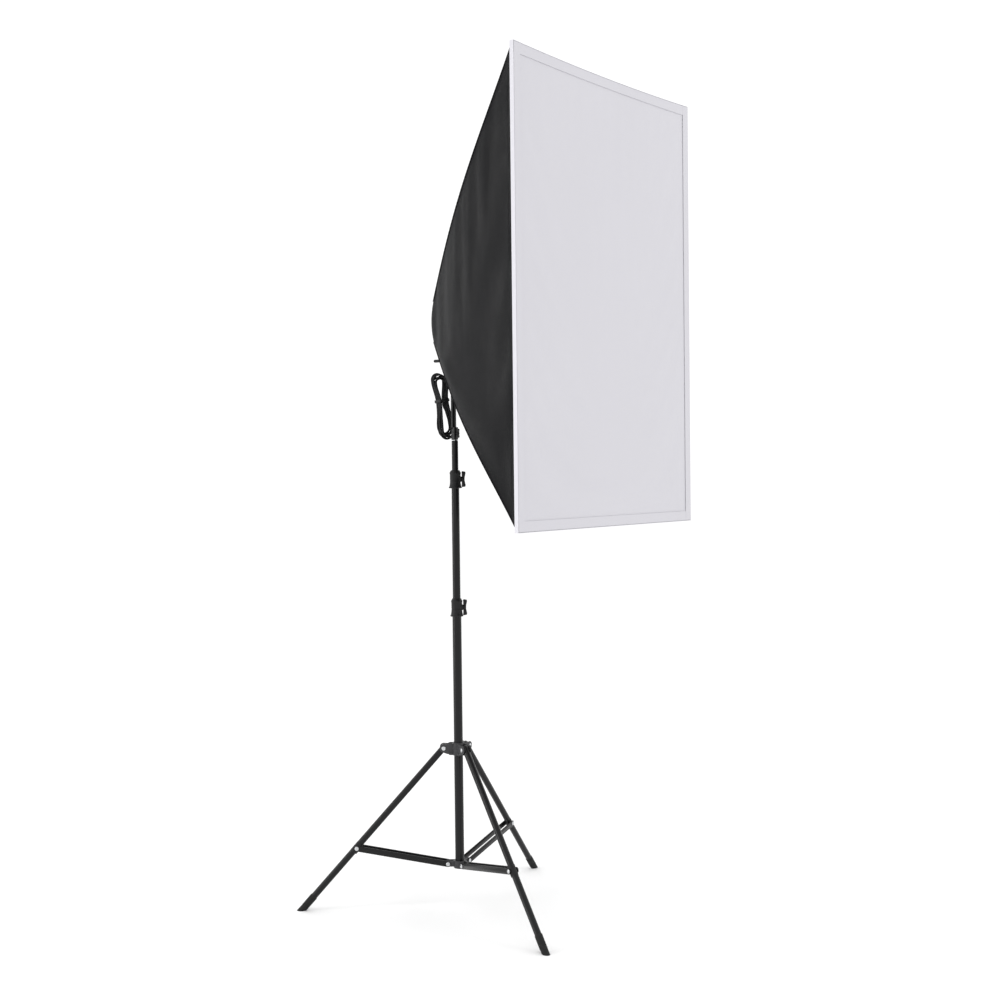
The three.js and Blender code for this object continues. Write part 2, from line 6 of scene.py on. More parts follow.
import bmesh
import bpy
from mathutils import Matrix, Vector
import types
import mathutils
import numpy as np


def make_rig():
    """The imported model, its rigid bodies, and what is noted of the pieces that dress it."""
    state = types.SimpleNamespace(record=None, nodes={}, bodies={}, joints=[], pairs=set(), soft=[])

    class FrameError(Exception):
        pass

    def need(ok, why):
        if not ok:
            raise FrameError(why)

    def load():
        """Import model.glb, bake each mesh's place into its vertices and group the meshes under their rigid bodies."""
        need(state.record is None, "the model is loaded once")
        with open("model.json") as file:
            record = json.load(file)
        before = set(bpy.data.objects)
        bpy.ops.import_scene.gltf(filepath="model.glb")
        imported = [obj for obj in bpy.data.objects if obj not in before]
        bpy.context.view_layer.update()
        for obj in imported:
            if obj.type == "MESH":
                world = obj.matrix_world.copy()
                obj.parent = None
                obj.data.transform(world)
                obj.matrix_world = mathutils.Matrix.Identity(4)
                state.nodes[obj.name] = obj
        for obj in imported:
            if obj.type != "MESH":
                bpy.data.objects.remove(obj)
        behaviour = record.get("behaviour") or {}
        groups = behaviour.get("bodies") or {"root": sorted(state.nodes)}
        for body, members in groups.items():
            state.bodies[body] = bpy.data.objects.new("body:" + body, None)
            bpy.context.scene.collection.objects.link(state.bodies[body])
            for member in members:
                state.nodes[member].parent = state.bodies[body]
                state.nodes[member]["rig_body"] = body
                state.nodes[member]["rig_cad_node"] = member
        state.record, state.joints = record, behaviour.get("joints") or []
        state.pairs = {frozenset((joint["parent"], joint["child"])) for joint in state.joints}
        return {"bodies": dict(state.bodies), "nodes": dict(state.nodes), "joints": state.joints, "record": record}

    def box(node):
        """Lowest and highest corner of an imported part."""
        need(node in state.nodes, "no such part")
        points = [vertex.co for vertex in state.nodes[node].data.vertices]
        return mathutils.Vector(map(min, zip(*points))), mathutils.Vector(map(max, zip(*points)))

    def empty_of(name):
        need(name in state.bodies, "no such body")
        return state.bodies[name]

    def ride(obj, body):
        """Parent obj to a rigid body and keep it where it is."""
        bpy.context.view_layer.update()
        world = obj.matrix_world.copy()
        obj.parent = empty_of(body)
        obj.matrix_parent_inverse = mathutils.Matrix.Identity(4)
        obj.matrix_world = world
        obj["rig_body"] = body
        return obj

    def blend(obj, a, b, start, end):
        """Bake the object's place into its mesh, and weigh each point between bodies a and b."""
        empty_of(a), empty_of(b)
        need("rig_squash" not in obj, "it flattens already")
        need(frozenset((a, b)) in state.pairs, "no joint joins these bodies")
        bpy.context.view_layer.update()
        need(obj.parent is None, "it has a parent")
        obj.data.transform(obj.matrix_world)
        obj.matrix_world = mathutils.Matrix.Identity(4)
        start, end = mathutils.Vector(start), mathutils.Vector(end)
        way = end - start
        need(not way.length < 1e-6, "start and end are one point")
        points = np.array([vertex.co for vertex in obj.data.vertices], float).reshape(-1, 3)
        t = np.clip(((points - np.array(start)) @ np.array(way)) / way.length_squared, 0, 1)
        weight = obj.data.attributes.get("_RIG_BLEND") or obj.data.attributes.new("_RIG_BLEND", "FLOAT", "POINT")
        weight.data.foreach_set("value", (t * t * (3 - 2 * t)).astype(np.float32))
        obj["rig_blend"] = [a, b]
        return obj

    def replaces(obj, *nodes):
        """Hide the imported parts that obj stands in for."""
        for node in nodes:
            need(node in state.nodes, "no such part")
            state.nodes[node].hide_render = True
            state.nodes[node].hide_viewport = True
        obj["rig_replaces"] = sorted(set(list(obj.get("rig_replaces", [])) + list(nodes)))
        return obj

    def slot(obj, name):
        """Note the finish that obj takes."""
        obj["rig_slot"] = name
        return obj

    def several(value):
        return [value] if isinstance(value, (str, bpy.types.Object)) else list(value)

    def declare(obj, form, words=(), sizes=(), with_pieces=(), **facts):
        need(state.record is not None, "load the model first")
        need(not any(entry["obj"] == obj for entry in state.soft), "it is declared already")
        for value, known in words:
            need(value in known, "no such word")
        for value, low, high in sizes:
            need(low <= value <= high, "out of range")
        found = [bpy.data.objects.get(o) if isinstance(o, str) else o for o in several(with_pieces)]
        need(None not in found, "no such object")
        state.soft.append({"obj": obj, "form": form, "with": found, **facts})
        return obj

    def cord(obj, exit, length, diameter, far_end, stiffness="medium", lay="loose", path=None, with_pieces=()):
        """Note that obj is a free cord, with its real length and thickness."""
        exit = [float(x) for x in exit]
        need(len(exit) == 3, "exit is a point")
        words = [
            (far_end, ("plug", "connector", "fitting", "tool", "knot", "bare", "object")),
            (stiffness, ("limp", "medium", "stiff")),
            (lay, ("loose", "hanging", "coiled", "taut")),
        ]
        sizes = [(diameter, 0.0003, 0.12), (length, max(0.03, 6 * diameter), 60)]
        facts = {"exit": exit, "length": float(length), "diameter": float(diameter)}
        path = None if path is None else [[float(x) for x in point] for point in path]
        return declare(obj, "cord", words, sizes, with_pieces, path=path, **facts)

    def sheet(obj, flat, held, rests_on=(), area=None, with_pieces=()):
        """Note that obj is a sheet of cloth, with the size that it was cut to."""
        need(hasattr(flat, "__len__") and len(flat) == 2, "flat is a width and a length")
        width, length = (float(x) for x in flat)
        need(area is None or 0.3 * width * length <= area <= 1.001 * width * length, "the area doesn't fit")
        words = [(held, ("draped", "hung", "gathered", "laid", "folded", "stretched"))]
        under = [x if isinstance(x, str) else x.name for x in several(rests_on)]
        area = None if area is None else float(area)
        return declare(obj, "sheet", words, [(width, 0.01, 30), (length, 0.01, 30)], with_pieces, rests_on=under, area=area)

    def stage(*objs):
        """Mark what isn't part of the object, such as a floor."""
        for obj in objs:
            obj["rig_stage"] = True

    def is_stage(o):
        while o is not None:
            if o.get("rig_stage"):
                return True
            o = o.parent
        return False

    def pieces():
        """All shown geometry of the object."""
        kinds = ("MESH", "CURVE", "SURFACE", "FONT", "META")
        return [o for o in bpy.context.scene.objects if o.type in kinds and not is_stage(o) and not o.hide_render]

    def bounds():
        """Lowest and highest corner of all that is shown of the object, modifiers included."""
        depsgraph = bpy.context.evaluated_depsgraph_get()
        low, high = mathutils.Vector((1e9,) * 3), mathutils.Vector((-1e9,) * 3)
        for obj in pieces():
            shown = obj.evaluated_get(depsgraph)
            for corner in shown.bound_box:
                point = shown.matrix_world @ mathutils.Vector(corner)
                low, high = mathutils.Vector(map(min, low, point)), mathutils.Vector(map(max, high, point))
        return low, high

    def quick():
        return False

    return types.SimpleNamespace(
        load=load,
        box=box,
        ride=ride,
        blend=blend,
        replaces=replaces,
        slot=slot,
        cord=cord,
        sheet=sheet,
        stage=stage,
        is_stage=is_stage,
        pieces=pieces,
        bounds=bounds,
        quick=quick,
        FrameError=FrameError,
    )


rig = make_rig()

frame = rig.load()
CAD_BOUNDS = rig.bounds()

bl_info = {
    "name": "Studio softbox",
    "version": (1, 0, 0),
    "blender": (4, 5, 0),
    "location": "3D View > Sidebar > Softbox",
    "description": "Makes a studio softbox on a folding light stand, piece by piece",
    "category": "Add Mesh",
}

MM = 0.001
UP = Vector((0, 0, 1))


# ---------- places and sizes, from the frame ----------
def span(node, axis):
    """The lowest and highest place of a node along x, y or z."""
    low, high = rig.box(node)
    return getattr(low, axis), getattr(high, axis)


def middle(node):
    low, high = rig.box(node)
    return (low + high) / 2


POLE = Vector((middle("lower_tube").x, middle("lower_tube").y, 0))
KNOB_TURN = math.radians(36.6)
LEG_TURNS = [math.radians(a) for a in (98.3, 218.3, 338.3)]
FRONT_X = span("top_panel", "x")[1] - POLE.x
BACK_X = span("top_panel", "x")[0] - POLE.x
FRONT_HALF = Vector((0, span("top_panel", "y")[1] - POLE.y, 0.500))
FRONT_Z = span("top_panel", "z")[1] - FRONT_HALF.z
BACK_HALF = Vector((0, 0.045, 0.046))
AXIS_Z = middle("lamp_socket").z
TILT = Vector((-0.003, 0, middle("tilt_bolt").z))
HOUSING_BACK = span("lamp_housing", "x")[0] - POLE.x

# The stand's own lengths, in millimetres and degrees.
TUBE_WALL = 1.2
HUB_Z = 396
LEG_PIVOT = 36
FOOT_REACH = 389
BRACE_HUB_Z = 111.4
BRACE_PIVOT = 28.6
BRACE_LENGTH = 226.6
BRACE_SLOPE = 10.55


def about_pole(turn=0.0):
    """Puts a piece made beside the pole's foot into place, turned about the pole."""
    return Matrix.Translation(POLE) @ Matrix.Rotation(turn, 4, "Z")


# ---------- what a user would change ----------
def colour(name, description, default):
    return bpy.props.FloatVectorProperty(
        name=name, description=description, subtype="COLOR", size=3, min=0, max=1, default=default
    )


def length(name, description, default):
    return bpy.props.FloatProperty(
        name=name, description=description, default=default, min=0, unit="LENGTH", precision=4
    )


class SoftboxCloth(bpy.types.PropertyGroup):
    outside: colour("Outside", "Colour of the black cloth", (0.011, 0.011, 0.012))
    lining: colour("Lining", "Colour of the silver lining", (0.62, 0.62, 0.64))
    front: colour("Front sheet", "Colour of the white front sheet", (0.60, 0.592, 0.63))
    thickness: length("Thickness", "Thickness of the side cloth with its lining", 0.0012)
    hem: length("Hem", "Width of the hem round the front sheet", 0.022)
    slack: bpy.props.FloatProperty(
        name="Slack",
        description="Spare cloth between the rods, as a share",
        default=0.0015,
        min=0,
        max=0.05,
    )


class SoftboxStand(bpy.types.PropertyGroup):
    metal: colour("Tube paint", "Colour of the painted tubes", (0.006, 0.006, 0.0065))
    moulding: colour("Mouldings", "Colour of the moulded hubs, collars and knobs", (0.009, 0.009, 0.0095))
    zinc: colour("Rivets", "Colour of the zinc-plated rivets and screws", (0.60, 0.61, 0.62))
    leg_turn_sides: bpy.props.IntProperty(
        name="Roundness", description="Sides of a turned piece", default=64, min=12, max=128
    )


class SoftboxLead(bpy.types.PropertyGroup):
    diameter: length("Diameter", "Diameter of the lead", 0.005)
    turns: bpy.props.IntProperty(
        name="Turns", description="Turns in the tied hank", default=6, min=1, max=6
    )
    sheath: colour("Sheath", "Colour of the lead", (0.006, 0.006, 0.0065))


class SoftboxStage(bpy.types.PropertyGroup):
    floor: colour("Floor", "Colour of the floor", (0.95, 0.95, 0.95))
    sky: bpy.props.FloatProperty(
        name="Surround", description="Brightness of the surround", default=1.08, min=0
    )


GROUPS = {
    "softbox_cloth": SoftboxCloth,
    "softbox_stand": SoftboxStand,
    "softbox_lead": SoftboxLead,
    "softbox_stage": SoftboxStage,
}


# ---------- shader expressions ----------
class Signal:
    """A value that varies over a surface. Arithmetic on it adds Math nodes."""

    def __init__(self, finish, socket):
        self.finish = finish
        self.socket = socket

    def math(self, operation, *values):
        inputs = dict(enumerate(values))
        return self.finish.node("ShaderNodeMath", {"operation": operation}, inputs)

    def __add__(self, other):
        return self.math("ADD", self, other)

    def __radd__(self, other):
        return self.math("ADD", other, self)

    def __sub__(self, other):
        return self.math("SUBTRACT", self, other)

    def __rsub__(self, other):
        return self.math("SUBTRACT", other, self)

    def __mul__(self, other):
        return self.math("MULTIPLY", self, other)

    def __rmul__(self, other):
        return self.math("MULTIPLY", other, self)

    def __truediv__(self, other):
        return self.math("DIVIDE", self, other)

    def __pow__(self, other):
        return self.math("POWER", self, other)

    def above(self, low, high):
        """0 below low, 1 above high, and a smooth step between."""
        settings = {"interpolation_type": "SMOOTHSTEP"}
        return self.finish.node(
            "ShaderNodeMapRange", settings, {"Value": self, "From Min": low, "From Max": high}
        )

    def part(self, name):
        """Another output of the same node."""
        return Signal(self.finish, self.socket.node.outputs[name])


class Finish:
    """One material: a Principled shader, and the nodes that vary it."""

    def __init__(self, name, **constants):
        self.material = bpy.data.materials.new(name)
        self.material.use_nodes = True
        self.nodes = self.material.node_tree.nodes
        self.shader = self.nodes["Principled BSDF"]
        for socket, value in constants.items():
            self.put(socket.replace("_", " "), value)

    def node(self, kind, settings=None, inputs=None, output=0):
        made = self.nodes.new(kind)
        for key, value in (settings or {}).items():
            if key == "stops":
                self.set_stops(made.color_ramp, value)
            else:
                setattr(made, key, value)
        for key, value in (inputs or {}).items():
            self.feed(made.inputs[key], value)
        return Signal(self, made.outputs[output])

    def set_stops(self, ramp, stops):
        while len(ramp.elements) < len(stops):
            ramp.elements.new(1)
        for element, (position, shade) in zip(ramp.elements, stops):
            element.position = position
            element.color = (*shade, 1)

    def feed(self, socket, value):
        if isinstance(value, Signal):
            self.material.node_tree.links.new(value.socket, socket)
        elif socket.type == "RGBA":
            socket.default_value = (*value[:3], 1)
        else:
            socket.default_value = value

    def put(self, socket, value):
        self.feed(self.shader.inputs[socket], value)

    def place(self, kind="Object"):
        return self.node("ShaderNodeTexCoord", output=kind)

    def noise(self, scale, detail=3.0, where=None, stretch=None):
        where = where or self.place()
        if stretch:
            where = self.node("ShaderNodeMapping", None, {"Vector": where, "Scale": stretch})
        inputs = {"Vector": where, "Scale": scale, "Detail": detail}
        return self.node("ShaderNodeTexNoise", None, inputs)

    def shades(self, factor, dark, light):
        inputs = {0: factor, 6: dark, 7: light}
        return self.node("ShaderNodeMix", {"data_type": "RGBA"}, inputs, output=2)

    def bump(self, height, distance, strength=1.0, under=None):
        inputs = {"Height": height, "Distance": distance, "Strength": strength}
        if under:
            inputs["Normal"] = under
        return self.node("ShaderNodeBump", None, inputs)


def scaled(shade, factor):
    return tuple(min(1.0, c * factor) for c in shade)


def weave(finish, pitch):
    """Height of a plain weave whose threads follow the cloth's own cut."""
    cut = finish.place("UV")
    parts = finish.node("ShaderNodeSeparateXYZ", None, {"Vector": cut})
    turn = 2 * math.pi / pitch
    warp = (parts * turn).math("SINE", parts * turn)
    weft = parts.part("Y") * turn
    return warp * weft.math("SINE", weft) * 0.5 + 0.5


def black_cloth(shade):
    cloth = Finish("black_nylon", Sheen_Weight=0.015, Sheen_Roughness=0.4, Specular_IOR_Level=0.02)
    threads = weave(cloth, 1.1 * MM)
    clouds = cloth.noise(5.5, 4)
    fine = cloth.noise(340, 2)
    worn = clouds.above(0.42, 0.72)
    cloth.put("Base Color", cloth.shades(worn * 0.5 + threads * 0.3, scaled(shade, 0.7), scaled(shade, 1.2)))
    cloth.put("Roughness", 0.46 + 0.12 * fine + 0.1 * worn)
    ripple = cloth.bump(cloth.noise(16, 3), 1.4 * MM, 0.5)
    cloth.put("Normal", cloth.bump(threads, 0.12 * MM, 0.55, ripple))
    return cloth.material


def silver_lining(shade):
    lining = Finish("silver_lining", Metallic=0.85)
    crumple = lining.noise(38, 5)
    lining.put("Base Color", lining.shades(crumple, scaled(shade, 0.85), shade))
    lining.put("Roughness", 0.26 + 0.16 * crumple)
    lining.put("Normal", lining.bump(crumple, 1.2 * MM, 0.6))
    return lining.material


def white_cloth(shade):
    cloth = Finish("white_diffuser", Sheen_Weight=0.2, Sheen_Roughness=0.5, Specular_IOR_Level=0.3)
    threads = weave(cloth, 0.9 * MM)
    clouds = cloth.noise(2.6, 3)
    slub = cloth.noise(90, 3, stretch=(1, 1, 12))
    uneven = clouds * 0.7 + slub * 0.3
    cloth.put("Base Color", cloth.shades(uneven, scaled(shade, 0.965), scaled(shade, 1.03)))
    cloth.put("Roughness", 0.72 + 0.12 * slub)
    billow = cloth.bump(cloth.noise(7, 2), 2.5 * MM, 0.35)
    cloth.put("Normal", cloth.bump(threads, 0.09 * MM, 0.4, billow))
    return cloth.material


def white_tape(shade):
    tape = Finish("white_hem_tape", Specular_IOR_Level=0.35)
    ribs = tape.noise(60, 2, stretch=(18, 18, 1))
    # The tape is the front sheet's white painted lighter: painted light where light falls on the edge that wraps round
    # the rim. The ribs vary it within that.
    tape.put("Base Color", tape.shades(ribs, scaled(shade, 1.12), scaled(shade, 1.22)))
    tape.put("Roughness", 0.62 + 0.15 * ribs)
    tape.put("Normal", tape.bump(ribs, 0.2 * MM, 0.4))
    return tape.material


def painted_tube(shade):
    paint = Finish("black_tube_paint", Coat_Roughness=0.12, Specular_IOR_Level=0.2)
    orange_peel = paint.noise(420, 2)
    scuffs = paint.noise(60, 6, stretch=(1, 1, 0.12)).above(0.62, 0.78)
    paint.put("Base Color", paint.shades(scuffs, shade, scaled(shade, 2.6)))
    paint.put("Metallic", 0.05 + 0.2 * scuffs)
    paint.put("Roughness", 0.26 + 0.05 * orange_peel + 0.16 * scuffs)
    paint.put("Coat Weight", 0.14 - 0.1 * scuffs)
    paint.put("Normal", paint.bump(orange_peel, 0.03 * MM, 0.5))
    return paint.material


def moulded(name, shade, roughness=0.42, grain=0.05):
    plastic = Finish(name, Specular_IOR_Level=0.25)
    texture = plastic.noise(900, 3)
    marks = plastic.noise(35, 5).above(0.55, 0.8)
    plastic.put("Base Color", plastic.shades(marks, shade, scaled(shade, 1.5)))
    plastic.put("Roughness", roughness + 0.08 * texture + 0.08 * marks)
    plastic.put("Normal", plastic.bump(texture, grain * MM, 0.6))
    return plastic.material


def plated(name, shade, roughness=0.22):
    metal = Finish(name, Metallic=1.0)
    brushed = metal.noise(120, 4)
    stains = metal.noise(24, 4).above(0.5, 0.8)
    metal.put("Base Color", metal.shades(stains, shade, scaled(shade, 0.8)))
    metal.put("Roughness", roughness + 0.1 * brushed + 0.12 * stains)
    metal.put("Normal", metal.bump(brushed, 0.02 * MM, 0.4))
    return metal.material


def rubber(shade, name="black_rubber"):
    skin = Finish(name, Specular_IOR_Level=0.2)
    dust = skin.noise(45, 5)
    skin.put("Base Color", skin.shades(dust.above(0.5, 0.8), shade, scaled(shade, 2.0)))
    skin.put("Roughness", 0.55 + 0.2 * dust)
    skin.put("Normal", skin.bump(skin.noise(700, 2), 0.04 * MM, 0.5))
    return skin.material


def glazed(name, shade, roughness, coat):
    glaze = Finish(name, Coat_Weight=coat, Coat_Roughness=0.05)
    specks = glaze.noise(260, 4)
    glaze.put("Base Color", glaze.shades(specks.above(0.55, 0.75), shade, scaled(shade, 0.93)))
    glaze.put("Roughness", roughness + 0.06 * specks)
    glaze.put("Normal", glaze.bump(glaze.noise(30, 2), 0.15 * MM, 0.3))
    return glaze.material


def glass_rod():
    rod = Finish("glass_fibre_rod")
    fibres = rod.noise(500, 3, stretch=(0.2, 1, 1))
    rod.put("Base Color", rod.shades(fibres, (0.02, 0.02, 0.021), (0.06, 0.06, 0.062)))
    rod.put("Roughness", 0.35 + 0.15 * fibres)
    return rod.material


MADE = {}


def finish_for(name):
    """Each material is made once, from the colours in the scene's settings."""
    if name in MADE:
        return MADE[name]
    scene = bpy.context.scene
    cloth, stand, lead = scene.softbox_cloth, scene.softbox_stand, scene.softbox_lead
    recipes = {
        "black_cloth": lambda: black_cloth(cloth.outside),
        "lining": lambda: silver_lining(cloth.lining),
        "white_cloth": lambda: white_cloth(cloth.front),
        # The hem tape takes the front sheet's white and paints it lighter, as painted light on the wrapped edge.
        "white_tape": lambda: white_tape(cloth.front),
        "tube": lambda: painted_tube(stand.metal),
        "moulding": lambda: moulded("black_moulding", stand.moulding),
        "casting": lambda: moulded("grey_casting", scaled(stand.moulding, 4.5), 0.38),
        "holder": lambda: moulded("black_holder", scaled(stand.moulding, 0.9), 0.5, 0.09),
        "zinc": lambda: plated("zinc_plate", stand.zinc),
        "brass": lambda: plated("brass", (0.62, 0.45, 0.2), 0.26),
        "sheath": lambda: rubber(lead.sheath, "black_sheath"),
        "rubber": lambda: rubber((0.013, 0.013, 0.013)),
        "ceramic": lambda: glazed("glazed_ceramic", (0.78, 0.76, 0.7), 0.2, 0.6),
        "ballast": lambda: glazed("white_ballast", (0.8, 0.8, 0.77), 0.32, 0.15),
        "phosphor": lambda: glazed("phosphor_glass", (0.88, 0.87, 0.83), 0.12, 0.9),
        "rod": glass_rod,
    }
    MADE[name] = recipes[name]()
    return MADE[name]


# ---------- making pieces ----------
def sides():
    return bpy.context.scene.softbox_stand.leg_turn_sides


def arc(centre, radius, start, end, steps=8):
    """Points on an arc, for an outline. Angles are in degrees."""
    cx, cz = centre
    angles = [math.radians(start + (end - start) * i / steps) for i in range(steps + 1)]
    return [(cx + radius * math.cos(a), cz + radius * math.sin(a)) for a in angles]


def turned(profile, steps=None):
    """A piece turned about Z from (radius, height) points in millimetres."""
    bm = bmesh.new()
    verts = [bm.verts.new((r * MM, 0, z * MM)) for r, z in profile]
    edges = [bm.edges.new(pair) for pair in zip(verts, verts[1:])]
    bmesh.ops.spin(
        bm, geom=verts + edges, cent=(0, 0, 0), axis=(0, 0, 1), dvec=(0, 0, 0),
        angle=2 * math.pi, steps=steps or sides(), use_merge=True,
    )
    bmesh.ops.remove_doubles(bm, verts=bm.verts, dist=1e-7)
    bmesh.ops.recalc_face_normals(bm, faces=bm.faces)
    return bm


def rod(radius, start, end, edge=0.4, steps=None):
    """A round bar along Z with softened ends."""
    profile = [(0, start), (radius - edge, start), (radius, start + edge)]
    return turned(profile + [(radius, end - edge), (radius - edge, end), (0, end)], steps)


def tube(outer, inner, start, end, edge=0.3):
    profile = [(inner, start), (outer - edge, start), (outer, start + edge), (outer, end - edge)]
    return turned(profile + [(outer - edge, end), (inner, end), (inner, start)])


def soften(bm, width, segments=2, over=35):
    """Rounds every edge that turns by more than some degrees."""
    limit = math.radians(over)
    sharp = [e for e in bm.edges if len(e.link_faces) == 2 and e.calc_face_angle() > limit]
    bmesh.ops.bevel(
        bm, geom=sharp, offset=width * MM, offset_type="OFFSET", affect="EDGES",
        segments=segments, profile=0.5, material=-1, clamp_overlap=True,
    )
    return bm


def plate(outline, near, far, edge=0.5, over=35):
    """An upright plate from an outline of (x, z) points in millimetres, thick along Y."""
    bm = bmesh.new()
    face = bm.faces.new([bm.verts.new((x * MM, near * MM, z * MM)) for x, z in outline])
    grown = bmesh.ops.extrude_face_region(bm, geom=[face])
    moved = [v for v in grown["geom"] if isinstance(v, bmesh.types.BMVert)]
    bmesh.ops.translate(bm, verts=moved, vec=(0, (far - near) * MM, 0))
    bmesh.ops.recalc_face_normals(bm, faces=bm.faces)
    return soften(bm, edge, over=over) if edge else bm


def block(x, y, z, edge=0.6):
    bm = bmesh.new()
    bmesh.ops.create_cube(bm, size=1)
    size = [(pair[1] - pair[0]) * MM for pair in (x, y, z)]
    centre = [(pair[1] + pair[0]) * MM / 2 for pair in (x, y, z)]
    bmesh.ops.scale(bm, verts=bm.verts, vec=size)
    bmesh.ops.translate(bm, verts=bm.verts, vec=centre)
    return soften(bm, edge) if edge else bm


def moved(bm, x=0.0, y=0.0, z=0.0):
    bmesh.ops.translate(bm, verts=bm.verts, vec=(x * MM, y * MM, z * MM))
    return bm


def swung(bm, degrees, axis):
    turn = Matrix.Rotation(math.radians(degrees), 3, axis)
    bmesh.ops.rotate(bm, verts=bm.verts, cent=(0, 0, 0), matrix=turn)
    return bm


def along_x(bm):
    return swung(bm, 90, "Y")


def along_y(bm):
    return swung(bm, -90, "X")


def joined(*parts):
    """Several solids as the one mesh of a piece."""
    whole = bmesh.new()
    for part in parts:
        mesh = bpy.data.meshes.new("part")
        part.to_mesh(mesh)
        part.free()
        whole.from_mesh(mesh)
        bpy.data.meshes.remove(mesh)
    return whole


def cut(bm, *tools):
    """Takes the tools' solids out of a solid."""
    whole = temporary(bm, "blank")
    for tool in tools:
        cutter = temporary(tool, "cutter")
        modifier = whole.modifiers.new("cut", "BOOLEAN")
        modifier.operation = "DIFFERENCE"
        modifier.solver = "EXACT"
        modifier.object = cutter
        bake_modifiers(whole)
        bpy.data.objects.remove(cutter)
    result = bmesh.new()
    result.from_mesh(whole.data)
    bpy.data.objects.remove(whole)
    return result


def temporary(bm, name):
    mesh = bpy.data.meshes.new(name)
    bm.to_mesh(mesh)
    bm.free()
    made = bpy.data.objects.new(name, mesh)
    bpy.context.scene.collection.objects.link(made)
    return made


def bake_modifiers(piece):
    depsgraph = bpy.context.evaluated_depsgraph_get()
    depsgraph.update()
    mesh = bpy.data.meshes.new_from_object(piece.evaluated_get(depsgraph))
    piece.modifiers.clear()
    piece.data = mesh


def settle(piece, name, body, slot, nodes, finishes, smooth=40):
    """Gives a made object its name, finish, body and record slot."""
    piece.name = name
    piece.data.name = name
    piece.data.materials.clear()
    for finish in finishes:
        piece.data.materials.append(finish_for(finish))
    if piece.type == "MESH" and smooth:
        piece.data.shade_smooth()
        piece.data.set_sharp_from_angle(angle=math.radians(smooth))
    if body:
        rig.ride(piece, body)
    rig.slot(piece, slot)
    if nodes:
        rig.replaces(piece, *nodes)
    return piece


def piece_from(bm, name, body, slot, finish, nodes=(), place=None, smooth=40):
    """Turns a bmesh made beside the pole's foot into a finished piece in its place."""
    bmesh.ops.transform(bm, matrix=place or about_pole(), verts=bm.verts)
    return settle(temporary(bm, name), name, body, slot, nodes, [finish], smooth)


def round_bar(points, radius, name, body, slot, finish, nodes=()):
    """A bar of round section along a smooth line through points, as a curve."""
    data = bpy.data.curves.new(name, "CURVE")
    data.dimensions = "3D"
    data.bevel_depth = radius
    data.bevel_resolution = 4
    data.resolution_u = 6
    data.use_fill_caps = True
    line = data.splines.new("NURBS")
    line.points.add(len(points) - 1)
    for spot, at in zip(line.points, points):
        spot.co = (*at, 1)
    line.order_u = 4
    line.use_endpoint_u = True
    piece = bpy.data.objects.new(name, data)
    bpy.context.scene.collection.objects.link(piece)
    return settle(piece, name, body, slot, nodes, [finish], smooth=0)


# ---------- stage ----------
# The camera stands here from the pole, in metres, and is turned, pitched and rolled by these degrees.
CAMERA_PLACE = Vector((2.174, -2.652, 1.086))
CAMERA_TURNS = (127.53, -1.42, -0.64)
CAMERA_LENS = 50.6


def look_at(thing, target):
    direction = Vector(target) - thing.location
    thing.rotation_euler = direction.to_track_quat("-Z", "Y").to_euler()


def soft_light(name, place, target, size, power):
    data = bpy.data.lights.new(name, "AREA")
    data.shape = "RECTANGLE"
    data.size, data.size_y = size
    data.energy = power
    light = bpy.data.objects.new(name, data)
    bpy.context.scene.collection.objects.link(light)
    light.location = place
    look_at(light, target)
    return light


class SOFTBOX_OT_stage(bpy.types.Operator):
    """Makes the floor, the surround, the lights and the camera"""

    bl_idname = "softbox.stage"
    bl_label = "Stage"

    def execute(self, context):
        settings = context.scene.softbox_stage
        bm = bmesh.new()
        bmesh.ops.create_grid(bm, x_segments=2, y_segments=2, size=30)
        floor = temporary(bm, "floor")
        paint = Finish("floor_paper", Roughness=0.9, Specular_IOR_Level=0.1)
        fibres = paint.noise(3, 2)
        paint.put("Base Color", paint.shades(fibres, settings.floor, scaled(settings.floor, 1.02)))
        floor.data.materials.append(paint.material)
        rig.stage(floor)

        world = bpy.data.worlds.new("surround")
        world.use_nodes = True
        world.node_tree.nodes["Background"].inputs["Color"].default_value = (1, 1, 1, 1)
        world.node_tree.nodes["Background"].inputs["Strength"].default_value = settings.sky
        context.scene.world = world
        context.scene.view_settings.view_transform = "Standard"

        self.add_lights()
        self.add_camera(context.scene)
        return {"FINISHED"}

    def add_lights(self):
        target = POLE + Vector((0.1, 0, 0.9))
        soft_light("key", POLE + Vector((3.2, 1.0, 2.6)), target, (0.7, 0.7), 9)
        soft_light("side", POLE + Vector((-2.1, -2.7, 1.3)), target, (0.3, 2.6), 26)
        soft_light("rim", POLE + Vector((-3.0, 1.2, 2.0)), target, (0.4, 2.4), 10)

    def add_camera(self, scene):
        data = bpy.data.cameras.new("camera")
        data.sensor_width = 36
        data.lens = CAMERA_LENS
        camera = bpy.data.objects.new("camera", data)
        scene.collection.objects.link(camera)
        camera.location = POLE + CAMERA_PLACE
        azimuth, pitch, tilt = (math.radians(a) for a in CAMERA_TURNS)
        heading = Matrix.Rotation(azimuth, 3, "Z") @ Vector((1, 0, math.tan(pitch)))
        roll = Matrix.Rotation(tilt, 3, "Z")
        camera.rotation_euler = (heading.to_track_quat("-Z", "Y").to_matrix() @ roll).to_euler()
        scene.camera = camera


# ---------- lead ----------
# The stretch from the strain relief to the hank, from the pole, in millimetres.
LEAD_ROUTE = [
    (-38, 0, 1374), (-38, 0, 1364), (-36.7, 0.63, 1351.6), (-32.9, 2.53, 1339.3),
    (-29, 4.44, 1327), (-27.7, 5.07, 1314.6),
]

